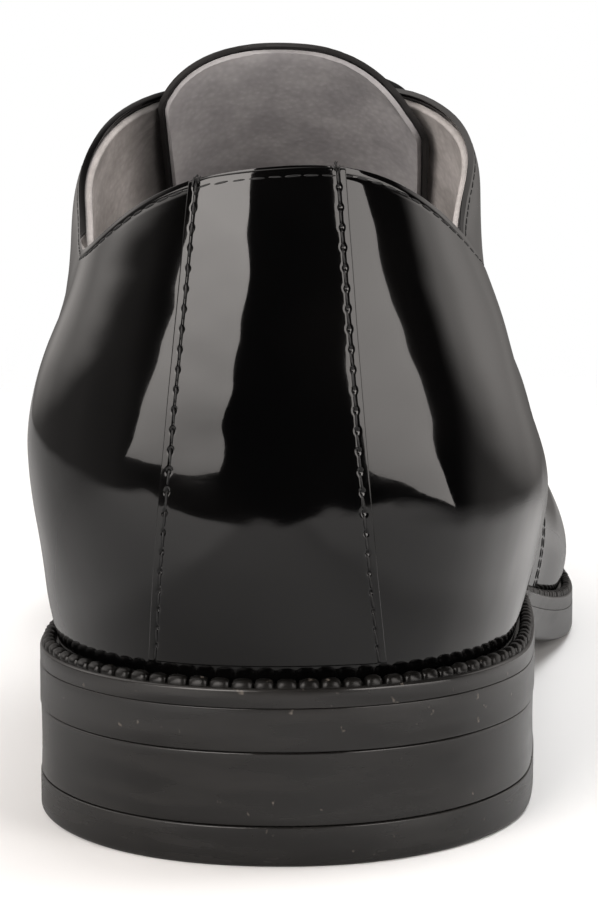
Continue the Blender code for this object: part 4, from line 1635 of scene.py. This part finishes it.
@dataclass
class Upper(Subassembly):
    """Quarters, vamp and their linings."""

    leather: float = 1.0
    step: float = 1.02
    fair_run: Pair = (6.0, 28.0)
    lining: float = 1.3
    lining_edge: float = 0.35
    lining_rim: float = 1.6
    vamp_lining: float = 0.5
    vamp_lining_edge: float = 0.1
    lining_coarseness: Pair = (1.8, 2.2)
    joint: float = 0.05
    softness: float = 2.5
    vamp_waves: LeatherWaves = LeatherWaves(depths=(0.1, 0.03, 0.006))
    vamp_row_share: float = 0.8
    crown_fade: Pair = (0.72, 0.92)
    collar_drop: float = 0.4
    facing_drop: float = 1.5
    facing_start: Pair = (92.0, 106.0)
    overlap: float = 1.2
    column_spacing: float = 1.15
    rows: int = 92
    rim_rows: int = 28
    rim_share: float = 0.95
    flare: float = 1.35
    flare_along: float = 88.0
    flare_run: float = 16.0
    flare_depth: float = 10.0
    crown_rounding: float = 4.5
    edge: float = 0.42
    stitch_inset: float = 1.1
    stitch_pitch: float = 2.3
    seam_insets: Pair = (1.5, 3.6)
    seam_pitch: float = 0.85
    seam_steps: int = 200
    groove: float = 0.12
    groove_width: float = 0.3
    eyelets: tuple[float, ...] = (146.0, 138.0, 130.0, 122.0, 114.5)
    eyelet_setback: float = 7.0
    eyelet_radius: float = 1.5
    lining_piece: Piece | None = None
    fullness: tuple[Fullness, ...] = (
        Fullness(Side.MEDIAL, 34.0, 20.0, 37.0, 8.0, -0.5),
        Fullness(Side.MEDIAL, 34.0, 20.0, 55.0, 7.0, 0.35),
        Fullness(Side.MEDIAL, 36.0, 20.0, 74.0, 8.0, -1.1),
        Fullness(Side.MEDIAL, 85.0, 15.0, 87.0, 8.0, 1.1),
        Fullness(Side.LATERAL, 52.0, 18.0, 44.0, 7.0, 0.6),
        Fullness(Side.LATERAL, 45.0, 18.0, 61.0, 8.0, -0.7),
        Fullness(Side.LATERAL, 89.0, 14.0, 69.0, 9.0, -1.5),
        Fullness(Side.LATERAL, 97.0, 15.0, 91.0, 9.0, 1.4),
    )

    def lining_drop(self, crown_along: float) -> float:
        """Distance of the lining's edge from the leather's, little at the collar."""
        share = float(smooth_step(*self.facing_start, np.array(crown_along)))
        return self.collar_drop + (self.facing_drop - self.collar_drop) * share

    def shell(self, start: float, end: float, drop: Drop | None = None, coarse: float = 1.0) -> Patch:
        """Work out a smooth patch of the quarters' surface, with close rows at its top edge.

        Args:
            start: Foot-line place of the patch's two front or back ends.
            end: Back or tip of the shoe.
            drop: Distance to stop short of the top edge, by the place along the crown.
            coarse: Factor on the spacing.

        Returns:
            The patch.
        """
        route = self.last.route(start, end, self.column_spacing * coarse)
        wall = np.linspace(0.0, self.rim_share, int(self.rows / coarse))[:-1]
        rim = np.linspace(self.rim_share, 1.0, int(self.rim_rows / coarse**2))
        points = self.last.columns(route, np.concatenate((wall, rim)), drop)
        patch = Patch(soften(points, self.softness / coarse, 0))
        patch = patch.lifted(sum(part.lift(patch.points) for part in self.fullness))
        near = np.exp(-(((patch.points[..., 1] - self.flare_along) / self.flare_run) ** 2))
        near *= np.exp(-((patch.from_end / self.flare_depth) ** 2)) * (patch.points[..., 0] > 0.0)
        patch.points[..., 0] += self.flare * near
        return patch

    @cached_property
    def quarter_patch(self) -> Patch:
        """Outer face of the quarters, drawn in along the stitches of the top edge."""
        front = self.last.unsweep(self.last.throat_along)
        patch = LeatherWaves().apply(self.shell(front, 0.0))
        seam = np.exp(-(((patch.from_end - self.stitch_inset) / self.groove_width) ** 2))
        return patch.lifted(-self.groove * seam)

    @cached_property
    def vamp_back(self) -> float:
        """Foot-line place where the vamp and the linings meet under the quarters' front edge."""
        return self.last.unsweep(self.last.throat_along - self.overlap / 2.0)

    def build(self) -> None:
        """Add the four shells and the stitches on them."""
        holes, axes = self.eyelet_places()
        quarter = self.quarter_patch
        piece = self.bench.grid("quarters", quarter.points, quarter.normals)
        self.bench.give_wall(piece, self.leather, self.edge)
        self.bench.cut_holes(piece, holes, axes, self.eyelet_radius)
        self.bench.dress(piece, self.finishes.patent, Slot.PATENT, "upper")
        vamp = self.vamp_waves.apply(self.closed_shell(self.vamp_back, self.last.sole.length))
        fair = smooth_step(*self.fair_run, vamp.points[:, 0, 1] - self.vamp_back)
        vamp = self.meet(vamp.lifted(-self.step * (1.0 - fair)[:, None]))
        piece = self.bench.grid("vamp", vamp.points, vamp.normals, merge=True)
        self.bench.give_wall(piece, self.leather, self.edge)
        self.bench.dress(piece, self.finishes.patent, Slot.PATENT, "upper")
        self.build_linings(holes, axes)
        self.build_stitches()

    def closed_shell(self, start: float, end: float, coarse: float = 1.0) -> Patch:
        """Work out the vamp's patch, which closes at the crown.

        Args:
            start: Foot-line place of the patch's back ends.
            end: Tip of the shoe.
            coarse: Factor on the spacing.

        Returns:
            The patch.
        """
        route = self.last.route(start, end, self.column_spacing * coarse)
        shares = np.linspace(0.0, 1.0, int(self.rows * self.vamp_row_share / coarse))
        columns = [Section(self.last, side, foot, False).profile(shares) for side, foot in route]
        points = soften(np.array(columns), self.softness / coarse, 0)
        points[:, -1, 0] = LAST("ridge", points[:, -1, 1])
        share = shares[None, :, None]
        points = points + (points[::-1, -1:] - points[:, -1:]) / 2.0 * share**2
        across = np.concatenate((points, points[::-1, -2::-1]), axis=1)
        rounded = soften(across, self.crown_rounding / coarse, 1)[:, : len(shares)]
        return Patch(points + (rounded - points) * smooth_step(*self.crown_fade, share))

    @staticmethod
    def meet(patch: Patch) -> Patch:
        """Bring both sides of a closed shell together at the crown."""
        patch.points[:, -1] = (patch.points[:, -1] + patch.points[::-1, -1]) / 2.0
        return patch

    def build_linings(self, holes: Array, axes: Array) -> None:
        """Add the linings of quarters and vamp.

        Args:
            holes: Middles of the lace holes.
            axes: Directions of the lace holes.
        """
        inner = self.shell(self.vamp_back, 0.0, self.lining_drop, self.lining_coarseness[0])
        piece = self.bench.grid("quarter_lining", inner.raised(-self.leather - self.joint), inner.normals)
        self.bench.give_wall(piece, self.lining, self.lining_edge, 2)
        self.bench.cut_holes(piece, holes, axes, self.eyelet_radius)
        self.bench.mark(piece, Bench.RIM, inner.points[:, -1], self.lining_rim)
        self.lining_piece = piece
        self.bench.dress(piece, self.finishes.facing_lining, Slot.LINING, "upper")
        inner = self.closed_shell(self.vamp_back, self.last.sole.length, self.lining_coarseness[1])
        inner = self.meet(inner.lifted(-self.step - self.leather - self.joint))
        piece = self.bench.grid("vamp_lining", inner.points, inner.normals, merge=True)
        self.bench.give_wall(piece, self.vamp_lining, self.vamp_lining_edge, 1)
        self.bench.dress(piece, self.finishes.lining, Slot.LINING, "upper")

    def eyelet_places(self) -> tuple[Array, Array]:
        """Middles and outward directions of the lace holes, lateral then medial for each pair."""
        places = []
        axes = []
        instep = Instep(self.last)
        for along in self.eyelets:
            reach = self.last.half_gap(along) + self.eyelet_setback
            for side in Side:
                point, normal = instep.at(along, side.value * reach)
                places.append(point)
                axes.append(normal)
        return np.array(places), np.array(axes)

    def build_stitches(self) -> None:
        """Stitch the top edge, the facings and the quarters' front edges."""
        stitcher = Stitcher(self.bench, self.finishes)
        patch = self.quarter_patch
        count, rows = patch.points.shape[:2]
        edge = np.arange(3.0, count - 3.0)
        points, normals = patch.at(edge, patch.rows_at(edge, self.stitch_inset))
        stitcher.row(points, normals, self.stitch_pitch, 3)
        for inset in self.seam_insets:
            for end in (0, 1):
                columns = inset / self.column_spacing
                place = columns if end == 0 else count - 1 - columns
                v = np.linspace(1.0, rows - 4.0, self.seam_steps)
                points, normals = patch.at(np.full(len(v), place), v)
                stitcher.row(points, normals, self.stitch_pitch * self.seam_pitch, 5 + end)
        stitcher.build("upper_stitches")


class Instep:
    """Surface over the open front, read by place along the crown and signed distance from it."""

    BACK = 96.0
    FRONT = 172.0
    REACH = 34.0
    SOFTNESS_ACROSS = 2.0
    SOFTNESS_ALONG = 1.5

    def __init__(self, last: LastForm) -> None:
        """Work out a patch with a point at each millimetre.

        Args:
            last: Form of the upper.
        """
        self.alongs = np.arange(self.BACK, self.FRONT, 1.0)
        self.reaches = np.arange(-self.REACH, self.REACH + 0.5, 1.0)
        columns = []
        for along in self.alongs:
            column = np.zeros((len(self.reaches), 3))
            for side in Side:
                section = last.section_at_crown(side, float(along))
                mine = self.reaches * side.value >= 0.0
                column[mine] = section.arc(section.turn_at_reach(np.abs(self.reaches[mine])))
            columns.append(column)
        points = soften(soften(np.array(columns), self.SOFTNESS_ACROSS, 1), self.SOFTNESS_ALONG, 0)
        self.patch = Patch(points, (0.0, 0.0, 1.0))

    def at(self, along: float, reach: float) -> tuple[Array, Array]:
        """Point and normal at one place."""
        points, normals = self.many(np.array([along]), np.array([reach]))
        return points[0], normals[0]

    def many(self, along: Array, reach: Array) -> tuple[Array, Array]:
        """Points and normals at places along the crown and signed distances from it."""
        return self.patch.at(np.asarray(along) - self.alongs[0], np.asarray(reach) - self.reaches[0])


@dataclass
class BackStrip(Subassembly):
    """Strip down the back of the heel, with a rolled edge and a stitched groove on each side."""

    top_half: float = 9.8
    foot_half: float = 15.6
    shift: float = 0.1
    thickness: float = 1.05
    foot: float = 0.04
    roll: float = 0.3
    stitch_inset: float = 1.3
    stitch_pitch: float = 2.6
    groove: float = 0.1
    groove_width: float = 0.15
    dimple: float = 0.3
    dimple_width: float = 0.26
    top_pitch: float = 0.82
    thread: Pair = (1.95, 0.32)
    thread_lift: float = 0.04
    top_thread_drop: float = 0.06
    knot: tuple[float, int, float] = (0.9, 5, 0.3)
    joint: float = 0.03
    least: float = 0.05
    wall_reach: float = 20.0
    wall_step: float = 0.35
    top: float = 0.995
    softness: Pair = (4.0, 3.0)
    fine_width: float = 2.4
    fine_columns: int = 36
    plain_columns: int = 40
    rows: int = 310

    @property
    def columns(self) -> int:
        """Number of points across the strip."""
        return 2 * self.fine_columns + self.plain_columns

    def surface(self) -> Patch:
        """Patch of the upper under the strip, with close columns along both seams."""
        route = self.last.route(self.wall_reach, 0.0, self.wall_step)
        shares = np.linspace(self.foot, self.top, self.rows)
        walls = soften(self.last.columns(route, shares), self.softness[0], 0)[::-1]
        edge = np.linspace(0.0, self.fine_width, self.fine_columns)
        grid = []
        for wall, share in zip(np.swapaxes(walls, 0, 1), shares):
            width = 2.0 * (self.foot_half + (self.top_half - self.foot_half) * share)
            middle = np.linspace(self.fine_width, width - self.fine_width, self.plain_columns + 2)[1:-1]
            across = self.shift - width / 2.0 + np.concatenate((edge, middle, width - edge[::-1]))
            grid.append(read_curve(across, wall[:, 0], wall))
        points = soften(np.swapaxes(np.array(grid), 0, 1), self.softness[1], 1)
        return LeatherWaves().apply(Patch(points, (0.0, -1.0, 0.0)))

    def build(self) -> None:
        """Add the strip and its stitches."""
        patch = self.surface()
        points = patch.points
        side = np.linalg.norm(np.diff(points, axis=0), axis=2)
        across = np.concatenate((np.zeros((1, self.rows)), np.cumsum(side, axis=0)))
        width = across[-1]
        up = patch.from_end[:, :1] - patch.from_end
        edge = np.minimum(across, width - across)
        end = np.minimum(up, patch.from_end)
        lift = self.thickness * self.rolled(edge) * self.rolled(end)
        seam = np.exp(-(((edge - self.stitch_inset) / self.groove_width) ** 2))
        phase = (up / self.stitch_pitch) % 1.0
        reach = np.minimum(phase, 1.0 - phase) * self.stitch_pitch
        hole = np.exp(-((edge - self.stitch_inset) ** 2 + reach**2) / self.dimple_width**2)
        lift = np.maximum(lift - seam * self.groove - self.dimple * hole, self.least)
        under = patch.raised(np.full(lift.shape, self.joint))
        strip = self.bench.slab("back_strip_dressed", patch.raised(lift), under)
        self.bench.dress(strip, self.finishes.patent, Slot.PATENT, "back_strip")
        self.stitch(patch, across, width)

    def rolled(self, distance: Array) -> Array:
        """Height share of a rolled edge at distances from it."""
        return np.sqrt(np.clip(1.0 - (1.0 - np.minimum(1.0, distance / self.roll)) ** 2, 0.0, 1.0))

    def stitch(self, patch: Patch, across: Array, width: Array) -> None:
        """Lay the stitches in both grooves and along the top, with a knot at each top corner.

        Args:
            patch: Surface under the strip.
            across: Distance of each point of the patch from the strip's first edge.
            width: Width of the strip at each row.
        """
        stitcher = Stitcher(self.bench, self.finishes, *self.thread)
        rise, strands, spread = self.knot
        v = np.arange(0.0, self.rows)
        for end in (0, 1):
            target = np.broadcast_to(width - self.stitch_inset if end else self.stitch_inset, width.shape)
            u = np.array([np.interp(target[int(j)], across[:, int(j)], np.arange(self.columns)) for j in v])
            points, normals = patch.at(u, v)
            height = self.thickness - self.groove + self.thread_lift
            stitcher.row(points, normals, self.stitch_pitch, 11 + end, height)
            stitcher.knot(points[-3] + normals[-3] * rise, normals[-3], strands, spread, 31 + end)
        u = np.linspace(self.fine_columns / 2.0, self.columns - 1.0 - self.fine_columns / 2.0, 80)
        points, normals = patch.at(u, patch.rows_at(u, self.stitch_inset))
        height = self.thickness - self.top_thread_drop
        stitcher.row(points, normals, self.top_pitch * self.stitch_pitch, 17, height)
        stitcher.build("back_strip_stitches")


@dataclass
class Tongue(Subassembly):
    """Tongue with a patent face and a lining that stops short of its rim."""

    half_width: float = 26.3
    shift: float = 1.6
    lean: float = 2.0
    base_half: float = 15.0
    base: float = 164.0
    bend: float = 107.0
    fullness: float = 1.8
    rise_angle: float = 42.0
    extension: float = 2.4
    round_off: float = 7.0
    ridge_rounding: float = 0.07
    wall: float = 2.6
    clearance: float = 0.8
    leather: float = 1.0
    lining: float = 0.85
    rim: float = 0.5
    joint: float = 0.03
    tip_steps: int = 14
    corner_power: float = 3.5
    least_half: float = 0.3
    lean_power: float = 1.5
    lean_ease: float = 0.55
    ridge_reach: float = 0.5
    face_steps: tuple[int, int] = (56, 70)
    lining_steps: tuple[int, int] = (48, 60)
    edge: float = 0.4
    lining_edge: float = 0.35
    cut_edge: Pair = (1.2, 4.0)
    lining_rim: float = 2.6
    # Reach in millimetres and sharpness of the painted shade on the facing's lining
    shade: Pair = (7.5, 3.0)

    def grid(self, lift: float, rim: float, columns: int, rows: int) -> tuple[Array, Array]:
        """Work out one layer of the tongue.

        Args:
            lift: Offset of the layer from the quarters' face.
            rim: Distance of the layer's edge from the tongue's edge.
            columns: Steps across.
            rows: Steps along.

        Returns:
            Points and normals by row and column.
        """
        instep = Instep(self.last)
        angle = math.radians(self.rise_angle)
        rise = np.array((0.0, -math.cos(angle), math.sin(angle)))
        lower = np.linspace(self.base, self.bend, rows)
        beyond = (self.extension - rim) * np.sin(np.linspace(0.0, math.pi / 2.0, self.tip_steps))[1:]
        s = np.sin(np.linspace(-math.pi / 2.0, math.pi / 2.0, columns))
        s = 0.5 * s + 0.5 * np.linspace(-1.0, 1.0, columns)
        points = []
        normals = []
        for along, extra in [(a, 0.0) for a in lower] + [(self.bend, e) for e in beyond]:
            share = (self.base - along) / (self.base - self.bend)
            fill = min(1.0, self.fullness * share)
            half = self.base_half + (self.half_width - self.base_half) * math.sin(fill * math.pi / 2.0)
            left = max(0.0, self.extension - extra + (along - self.bend) / math.cos(angle))
            left = max(0.0, left - rim)
            if left < self.round_off:
                curve = 1.0 - (1.0 - left / self.round_off) ** self.corner_power
                half *= max(self.least_half, curve ** (1.0 / self.corner_power))
            tip = max(0.0, 1.0 - left / self.round_off) ** self.lean_power
            reach = s * (half - rim) + self.shift * share
            row, up = instep.many(np.full(columns, along), reach)
            row[:, 0] -= self.lean * tip * (1.0 - self.lean_ease * np.maximum(-s, 0.0))
            points.append(row + up * lift + rise * extra)
            normals.append(up)
        layer = np.array(points)
        middle = np.exp(-((s / self.ridge_reach) ** 4))[None, :, None]
        return layer + (soften(layer, columns * self.ridge_rounding, 1) - layer) * middle, np.array(normals)

    @staticmethod
    def rim_line(points: Array) -> Array:
        """Points of a layer's two sides and tip."""
        return np.concatenate((points[:, 0], points[-1], points[:, -1]))

    def build(self, facing: Piece) -> None:
        """Add both layers, and paint shade onto the facing's lining beside them.

        Args:
            facing: Lining that gets painted shade beside the tongue's edge.
        """
        lift = -(self.wall + self.clearance)
        points, normals = self.grid(lift, 0.0, *self.face_steps)
        face = self.bench.grid("tongue_face", points, normals)
        self.bench.give_wall(face, self.leather, self.edge)
        self.bench.mark(face, Bench.RIM, self.rim_line(points), *self.cut_edge)
        self.bench.dress(face, self.finishes.patent, Slot.PATENT, "tongue")
        points, normals = self.grid(lift - self.leather - self.joint, self.rim, *self.lining_steps)
        back = self.bench.grid("tongue_lining", points, normals)
        self.bench.give_wall(back, self.lining, self.lining_edge, 2)
        self.bench.mark(back, Bench.RIM, self.rim_line(points), self.lining_rim)
        # Painted shade on the facing's lining, fading out from the tongue lining's first side
        self.bench.mark(facing, Bench.DEEP, points[:, 0], *self.shade)
        self.bench.dress(back, self.finishes.lining, Slot.LINING, "tongue")


@dataclass
class Lacing(Subassembly):
    """Lace that runs straight over the front and down through the holes."""

    upper: Upper
    radius: float = 1.15
    lift: float = 1.45
    depth: float = 2.2
    over_steps: int = 25
    turn_start: float = 2.0
    shoulder: Pair = (0.7, 0.35)
    hole_lift: float = 0.2

    def build(self) -> None:
        """Add one piece for each bar."""
        instep = Instep(self.last)
        for number, along in enumerate(self.upper.eyelets, 1):
            reach = self.last.half_gap(along) + self.upper.eyelet_setback
            over = np.linspace(-1.0, 1.0, self.over_steps) * (reach - self.turn_start)
            points, normals = instep.many(np.full(len(over), along), over)
            path = list(points + normals * self.lift)
            for side in (-1.0, 1.0):
                hole, axis = instep.at(along, side * reach)
                shoulder, up = instep.at(along, side * (reach - self.shoulder[0]))
                shoulder = shoulder + up * (self.lift - self.shoulder[1])
                end = [shoulder, hole + axis * self.hole_lift, hole - axis * self.depth]
                path = path + end if side > 0.0 else end[::-1] + path
            self.cord(f"lace_run_{number}", np.array(path), f"lace_bar_{number}")

    def cord(self, name: str, path: Array, node: str) -> None:
        """Add a round cord along a path.

        Args:
            name: Name of the piece.
            path: Points of the path.
            node: Solid that the cord stands for.
        """
        self.bench.deselect()
        bpy.ops.curve.primitive_nurbs_path_add()
        piece = bpy.context.active_object
        piece.name = name
        curve = piece.data
        curve.splines.clear()
        spline = curve.splines.new("NURBS")
        spline.points.add(len(path) - 1)
        for knot, point in zip(spline.points, self.bench.metres(path)):
            knot.co = (*point, 1.0)
        spline.use_endpoint_u = True
        spline.order_u = 4
        curve.bevel_depth = self.radius * MM
        curve.bevel_resolution = 4
        curve.resolution_u = 5
        curve.use_fill_caps = True
        Bench.activate(piece)
        bpy.ops.object.convert(target="MESH")
        self.bench.dress(bpy.context.active_object, self.finishes.lace, Slot.CORD, node)


@dataclass(frozen=True)
class Panel:
    """A soft light panel, given by the directions in which the heel sees it.

    Each row holds the left edge's azimuth and height, the right edge's, in degrees, and the brightness.
    """

    name: str
    rows: tuple[tuple[float, float, float, float, float], ...]
    columns: int = 9
    steps: int = 6

    def directions(self) -> Array:
        """Directions of the panel's points by column and row."""
        rows = np.array(self.rows)
        spread = np.linspace(0.0, len(rows) - 1.0, (len(rows) - 1) * self.steps + 1)
        lines = np.column_stack([np.interp(spread, np.arange(len(rows)), column) for column in rows.T])
        across = np.linspace(0.0, 1.0, self.columns)[:, None]
        turn = np.radians(lines[:, 0] + across * (lines[:, 2] - lines[:, 0]))
        rise = np.radians(lines[:, 1] + across * (lines[:, 3] - lines[:, 1]))
        return np.stack((np.sin(turn) * np.cos(rise), -np.cos(turn) * np.cos(rise), np.sin(rise)), axis=2)

    def brightness(self, ways: Array) -> Array:
        """Brightness at directions of the panel."""
        rows = np.array(self.rows)
        return np.interp(np.degrees(np.arcsin(ways[:, 2])), (rows[:, 1] + rows[:, 3]) / 2.0, rows[:, 4])


@dataclass
class Studio:
    """Floor, surroundings, light panels and the camera of the photograph."""

    bench: Bench
    aim: tuple[float, float, float] = (0.0, 0.0, 50.0)
    reach: float = 1200.0
    overhead: float = 6.0
    overhead_place: tuple[float, float, float] = (0.4, 0.3, 1.45)
    overhead_aim: tuple[float, float, float] = (0.0, 0.05, 0.0)
    overhead_size: Pair = (0.9, 1.1)
    tint: tuple[float, float, float, float] = (1.04, 0.985, 0.945, 1.0)
    floor_middle: Pair = (-0.17, 0.02)
    floor_radius: float = 1.1
    floor_fade: float = 0.3
    room_level: float = 0.012
    eye: tuple[float, float, float] = (0.02435, -0.47191, 0.08859)
    azimuth: float = -3.63
    tilt: float = 6.74
    focal_pixels: float = 2537.0
    frame_width: float = 598.0
    frame_height: float = 909.0
    middle_pixel: Pair = (281.1, 481.9)
    sensor: float = 36.0
    panels: tuple[Panel, ...] = (
        Panel(
            "left_panel",
            (
                (-75.0, 0.0, -23.0, 1.0, 3.4),
                (-68.0, 6.0, -19.5, 6.0, 5.1),
                (-60.5, 12.0, -15.5, 12.0, 6.6),
                (-52.5, 18.0, -10.5, 18.0, 8.0),
                (-48.5, 24.0, -11.0, 24.0, 9.2),
                (-46.0, 38.0, -12.0, 38.0, 8.8),
            ),
        ),
        Panel(
            "right_panel",
            (
                (43.0, 0.5, 93.0, -6.5, 4.0),
                (42.0, 4.0, 85.0, 1.0, 4.7),
                (39.0, 9.0, 77.5, 8.0, 5.4),
                (37.5, 16.0, 70.0, 15.5, 6.0),
                (39.5, 23.0, 68.0, 23.0, 5.8),
                (41.0, 38.0, 60.0, 38.0, 5.6),
            ),
        ),
    )

    def build(self) -> None:
        """Add everything."""
        self.add_camera()
        self.add_floor()
        self.add_surroundings()
        for panel in self.panels:
            self.add_panel(panel)
        self.add_overhead()
        bpy.context.scene.view_settings.view_transform = "Standard"

    def add_camera(self) -> None:
        """Add the camera at the photograph's viewing angle."""
        Bench.deselect()
        turn = math.radians(self.azimuth)
        down = math.radians(self.tilt)
        ahead = Vector((math.sin(turn) * math.cos(down), math.cos(turn) * math.cos(down), -math.sin(down)))
        bpy.ops.object.camera_add(location=self.eye, rotation=ahead.to_track_quat("-Z", "Y").to_euler())
        camera = bpy.context.active_object
        lens = camera.data
        lens.sensor_width = self.sensor
        lens.lens = self.focal_pixels / self.frame_height * self.sensor
        lens.shift_x = (self.frame_width / 2.0 - self.middle_pixel[0]) / self.frame_height
        lens.shift_y = (self.middle_pixel[1] - self.frame_height / 2.0) / self.frame_height
        lens.clip_start = 0.01
        bpy.context.scene.camera = camera

    def add_floor(self) -> None:
        """Add a pale floor that fades out at its rim, and that reflections and diffuse light see with
        painted shade on it.
        """
        Bench.deselect()
        bpy.ops.mesh.primitive_circle_add(vertices=96, radius=self.floor_radius, fill_type="NGON")
        floor = bpy.context.active_object
        floor.name = "floor"
        floor.location = (*self.floor_middle, 0.0)
        coating = Coating("pale_floor")
        board = coating.board
        coating.set(Base_Color=(0.86, 0.86, 0.86, 1.0), Roughness=0.9, Specular_IOR_Level=0.0)
        length = board.add("VectorMath", operation="LENGTH")
        board.feed(length.inputs[0], coating.place)
        far = length.outputs["Value"]
        fade = board.ramp(far, (self.floor_radius - self.floor_fade, self.floor_radius))
        x, y, _ = board.add("SeparateXYZ", Vector=coating.place).outputs
        bump = board.maths("ABSOLUTE", board.maths("SUBTRACT", x, 0.32))
        back = board.maths("SUBTRACT", y, board.ramp(bump, (0.04, 0.17), (0.25, 0.0)))
        slant = board.maths("MULTIPLY_ADD", y, 0.55, x)
        painted_shadow_strip = board.maths("ABSOLUTE", board.maths("SUBTRACT", x, 0.18))
        # Painted shade on the floor as reflections and diffuse light see it: below 1 the floor turns clear
        # to them and the dark room shows through. It falls from the front towards and under the shoe,
        # towards the side rims, and along a painted shadow strip in line with the heel's middle.
        shade = board.product(
            board.ramp(back, (-0.34, 0.0), (1.0, 0.26)),
            board.ramp(y, (-0.6, -0.53)),
            board.ramp(x, (-0.72, -0.36)),
            board.ramp(slant, (0.37, 0.57), (1.0, 0.0)),
            board.ramp(painted_shadow_strip, (0.07, 0.12), (0.66, 1.0)),
            board.ramp(x, (0.2, 0.3), (1.0, 0.8)),
        )
        seen = board.add("LightPath").outputs["Is Camera Ray"]
        # Reflections and diffuse light see the floor only as far as the painted shade lets them
        hidden = board.product(board.maths("SUBTRACT", 1.0, seen), board.maths("SUBTRACT", 1.0, shade))
        veil = board.product(seen, board.ramp(far, (0.3, 0.75)))
        gone = board.maths("MAXIMUM", board.maths("MAXIMUM", fade, veil), hidden)
        clear = board.add("BsdfTransparent").outputs["BSDF"]
        mixed = board.blend_shaders(gone, coating.shader.outputs["BSDF"], clear)
        floor.data.materials.append(coating.cover(mixed))

    def add_surroundings(self) -> None:
        """Make the room dark behind the camera, pale beyond the shoe, and white in the picture."""
        world = bpy.data.worlds.new("studio")
        world.use_nodes = True
        bpy.context.scene.world = world
        board = Board(world.node_tree)
        world.node_tree.nodes.clear()
        x, y, z = board.add("SeparateXYZ", Vector=board.add("TexCoord").outputs["Generated"]).outputs
        slope = board.maths("MULTIPLY_ADD", y, 0.34, z)
        left = board.product(
            board.ramp(slope, (0.22, 0.39), (0.16, 2.2)),
            board.ramp(y, (0.25, 0.72), (1.0, 0.2)),
            board.ramp(y, (-0.5, -0.08)),
            board.ramp(z, (0.4, 0.6), (1.0, 0.7)),
        )
        left = board.maths("ADD", left, board.ramp(y, (0.35, 0.75), (0.0, 0.06)))
        high = board.product(board.ramp(y, (0.7, 0.95)), board.ramp(z, (0.08, 0.3), (0.0, 0.75)))
        left = board.product(left, board.maths("SUBTRACT", 1.0, high))
        right = board.product(
            board.ramp(slope, (0.10, 0.34), (0.2, 1.35)),
            board.ramp(y, (0.5, 0.9), (1.0, 0.28)),
            board.ramp(y, (0.05, 0.33)),
            board.ramp(z, (0.42, 0.52), (1.0, 0.05)),
        )
        spread = board.maths("SUBTRACT", right, left)
        glow = board.maths("MULTIPLY_ADD", board.ramp(x, (-0.3, 0.3)), spread, left)
        glow = board.product(glow, board.ramp(y, (0.86, 1.0), (1.0, 0.35)))
        room = board.add("Background", Color=self.tint, Strength=board.maths("ADD", glow, self.room_level))
        white = board.add("Background", Color=(1.0, 1.0, 1.0, 1.0), Strength=1.0)
        seen = board.add("LightPath").outputs["Is Camera Ray"]
        mixed = board.blend_shaders(seen, room.outputs["Background"], white.outputs["Background"])
        board.feed(board.add("OutputWorld").inputs["Surface"], mixed)

    def add_panel(self, panel: Panel) -> None:
        """Add a curved panel that glows on all sides and stays out of the picture.

        Args:
            panel: Directions and brightness of the panel.
        """
        ways = panel.directions()
        piece = self.bench.grid(panel.name, np.array(self.aim) + self.reach * ways, -ways)
        middle = self.bench.metres(np.array(self.aim))
        seen = (np.array([vert.co for vert in piece.data.vertices]) - middle) / (self.reach * MM)
        glow = piece.data.attributes.new("glow", "FLOAT", "POINT")
        glow.data.foreach_set("value", panel.brightness(seen))
        coating = Coating(panel.name)
        light = coating.board.add("Emission", Color=self.tint, Strength=coating.board.mark("glow"))
        piece.data.materials.append(coating.cover(light.outputs["Emission"]))
        piece.visible_camera = False
        piece.visible_shadow = False

    def add_overhead(self) -> None:
        """Add a large soft light over the front of the shoe."""
        Bench.deselect()
        place = Vector(self.overhead_place)
        turn = (Vector(self.overhead_aim) - place).to_track_quat("-Z", "Y").to_euler()
        bpy.ops.object.light_add(type="AREA", location=place, rotation=turn)
        light = bpy.context.active_object
        light.name = "overhead"
        light.data.shape = "RECTANGLE"
        light.data.size, light.data.size_y = self.overhead_size
        light.data.energy = self.overhead * math.pi * light.data.size * light.data.size_y
        light.visible_glossy = False


def main() -> None:
    """Build the shoe's pieces in order."""
    logging.basicConfig(level=logging.INFO, format="%(message)s")
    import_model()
    sole = SoleForm()
    last = LastForm(sole)
    bench = Bench(sole.origin)
    finishes = Finishes()
    Studio(bench).build()
    Sole(last, bench, finishes).build()
    Welt(last, bench, finishes).build()
    Insole(last, bench, finishes).build()
    upper = Upper(last, bench, finishes)
    upper.build()
    BackStrip(last, bench, finishes).build()
    Tongue(last, bench, finishes).build(upper.lining_piece)
    Lacing(last, bench, finishes, upper).build()


if __name__ == "__main__":
    main()
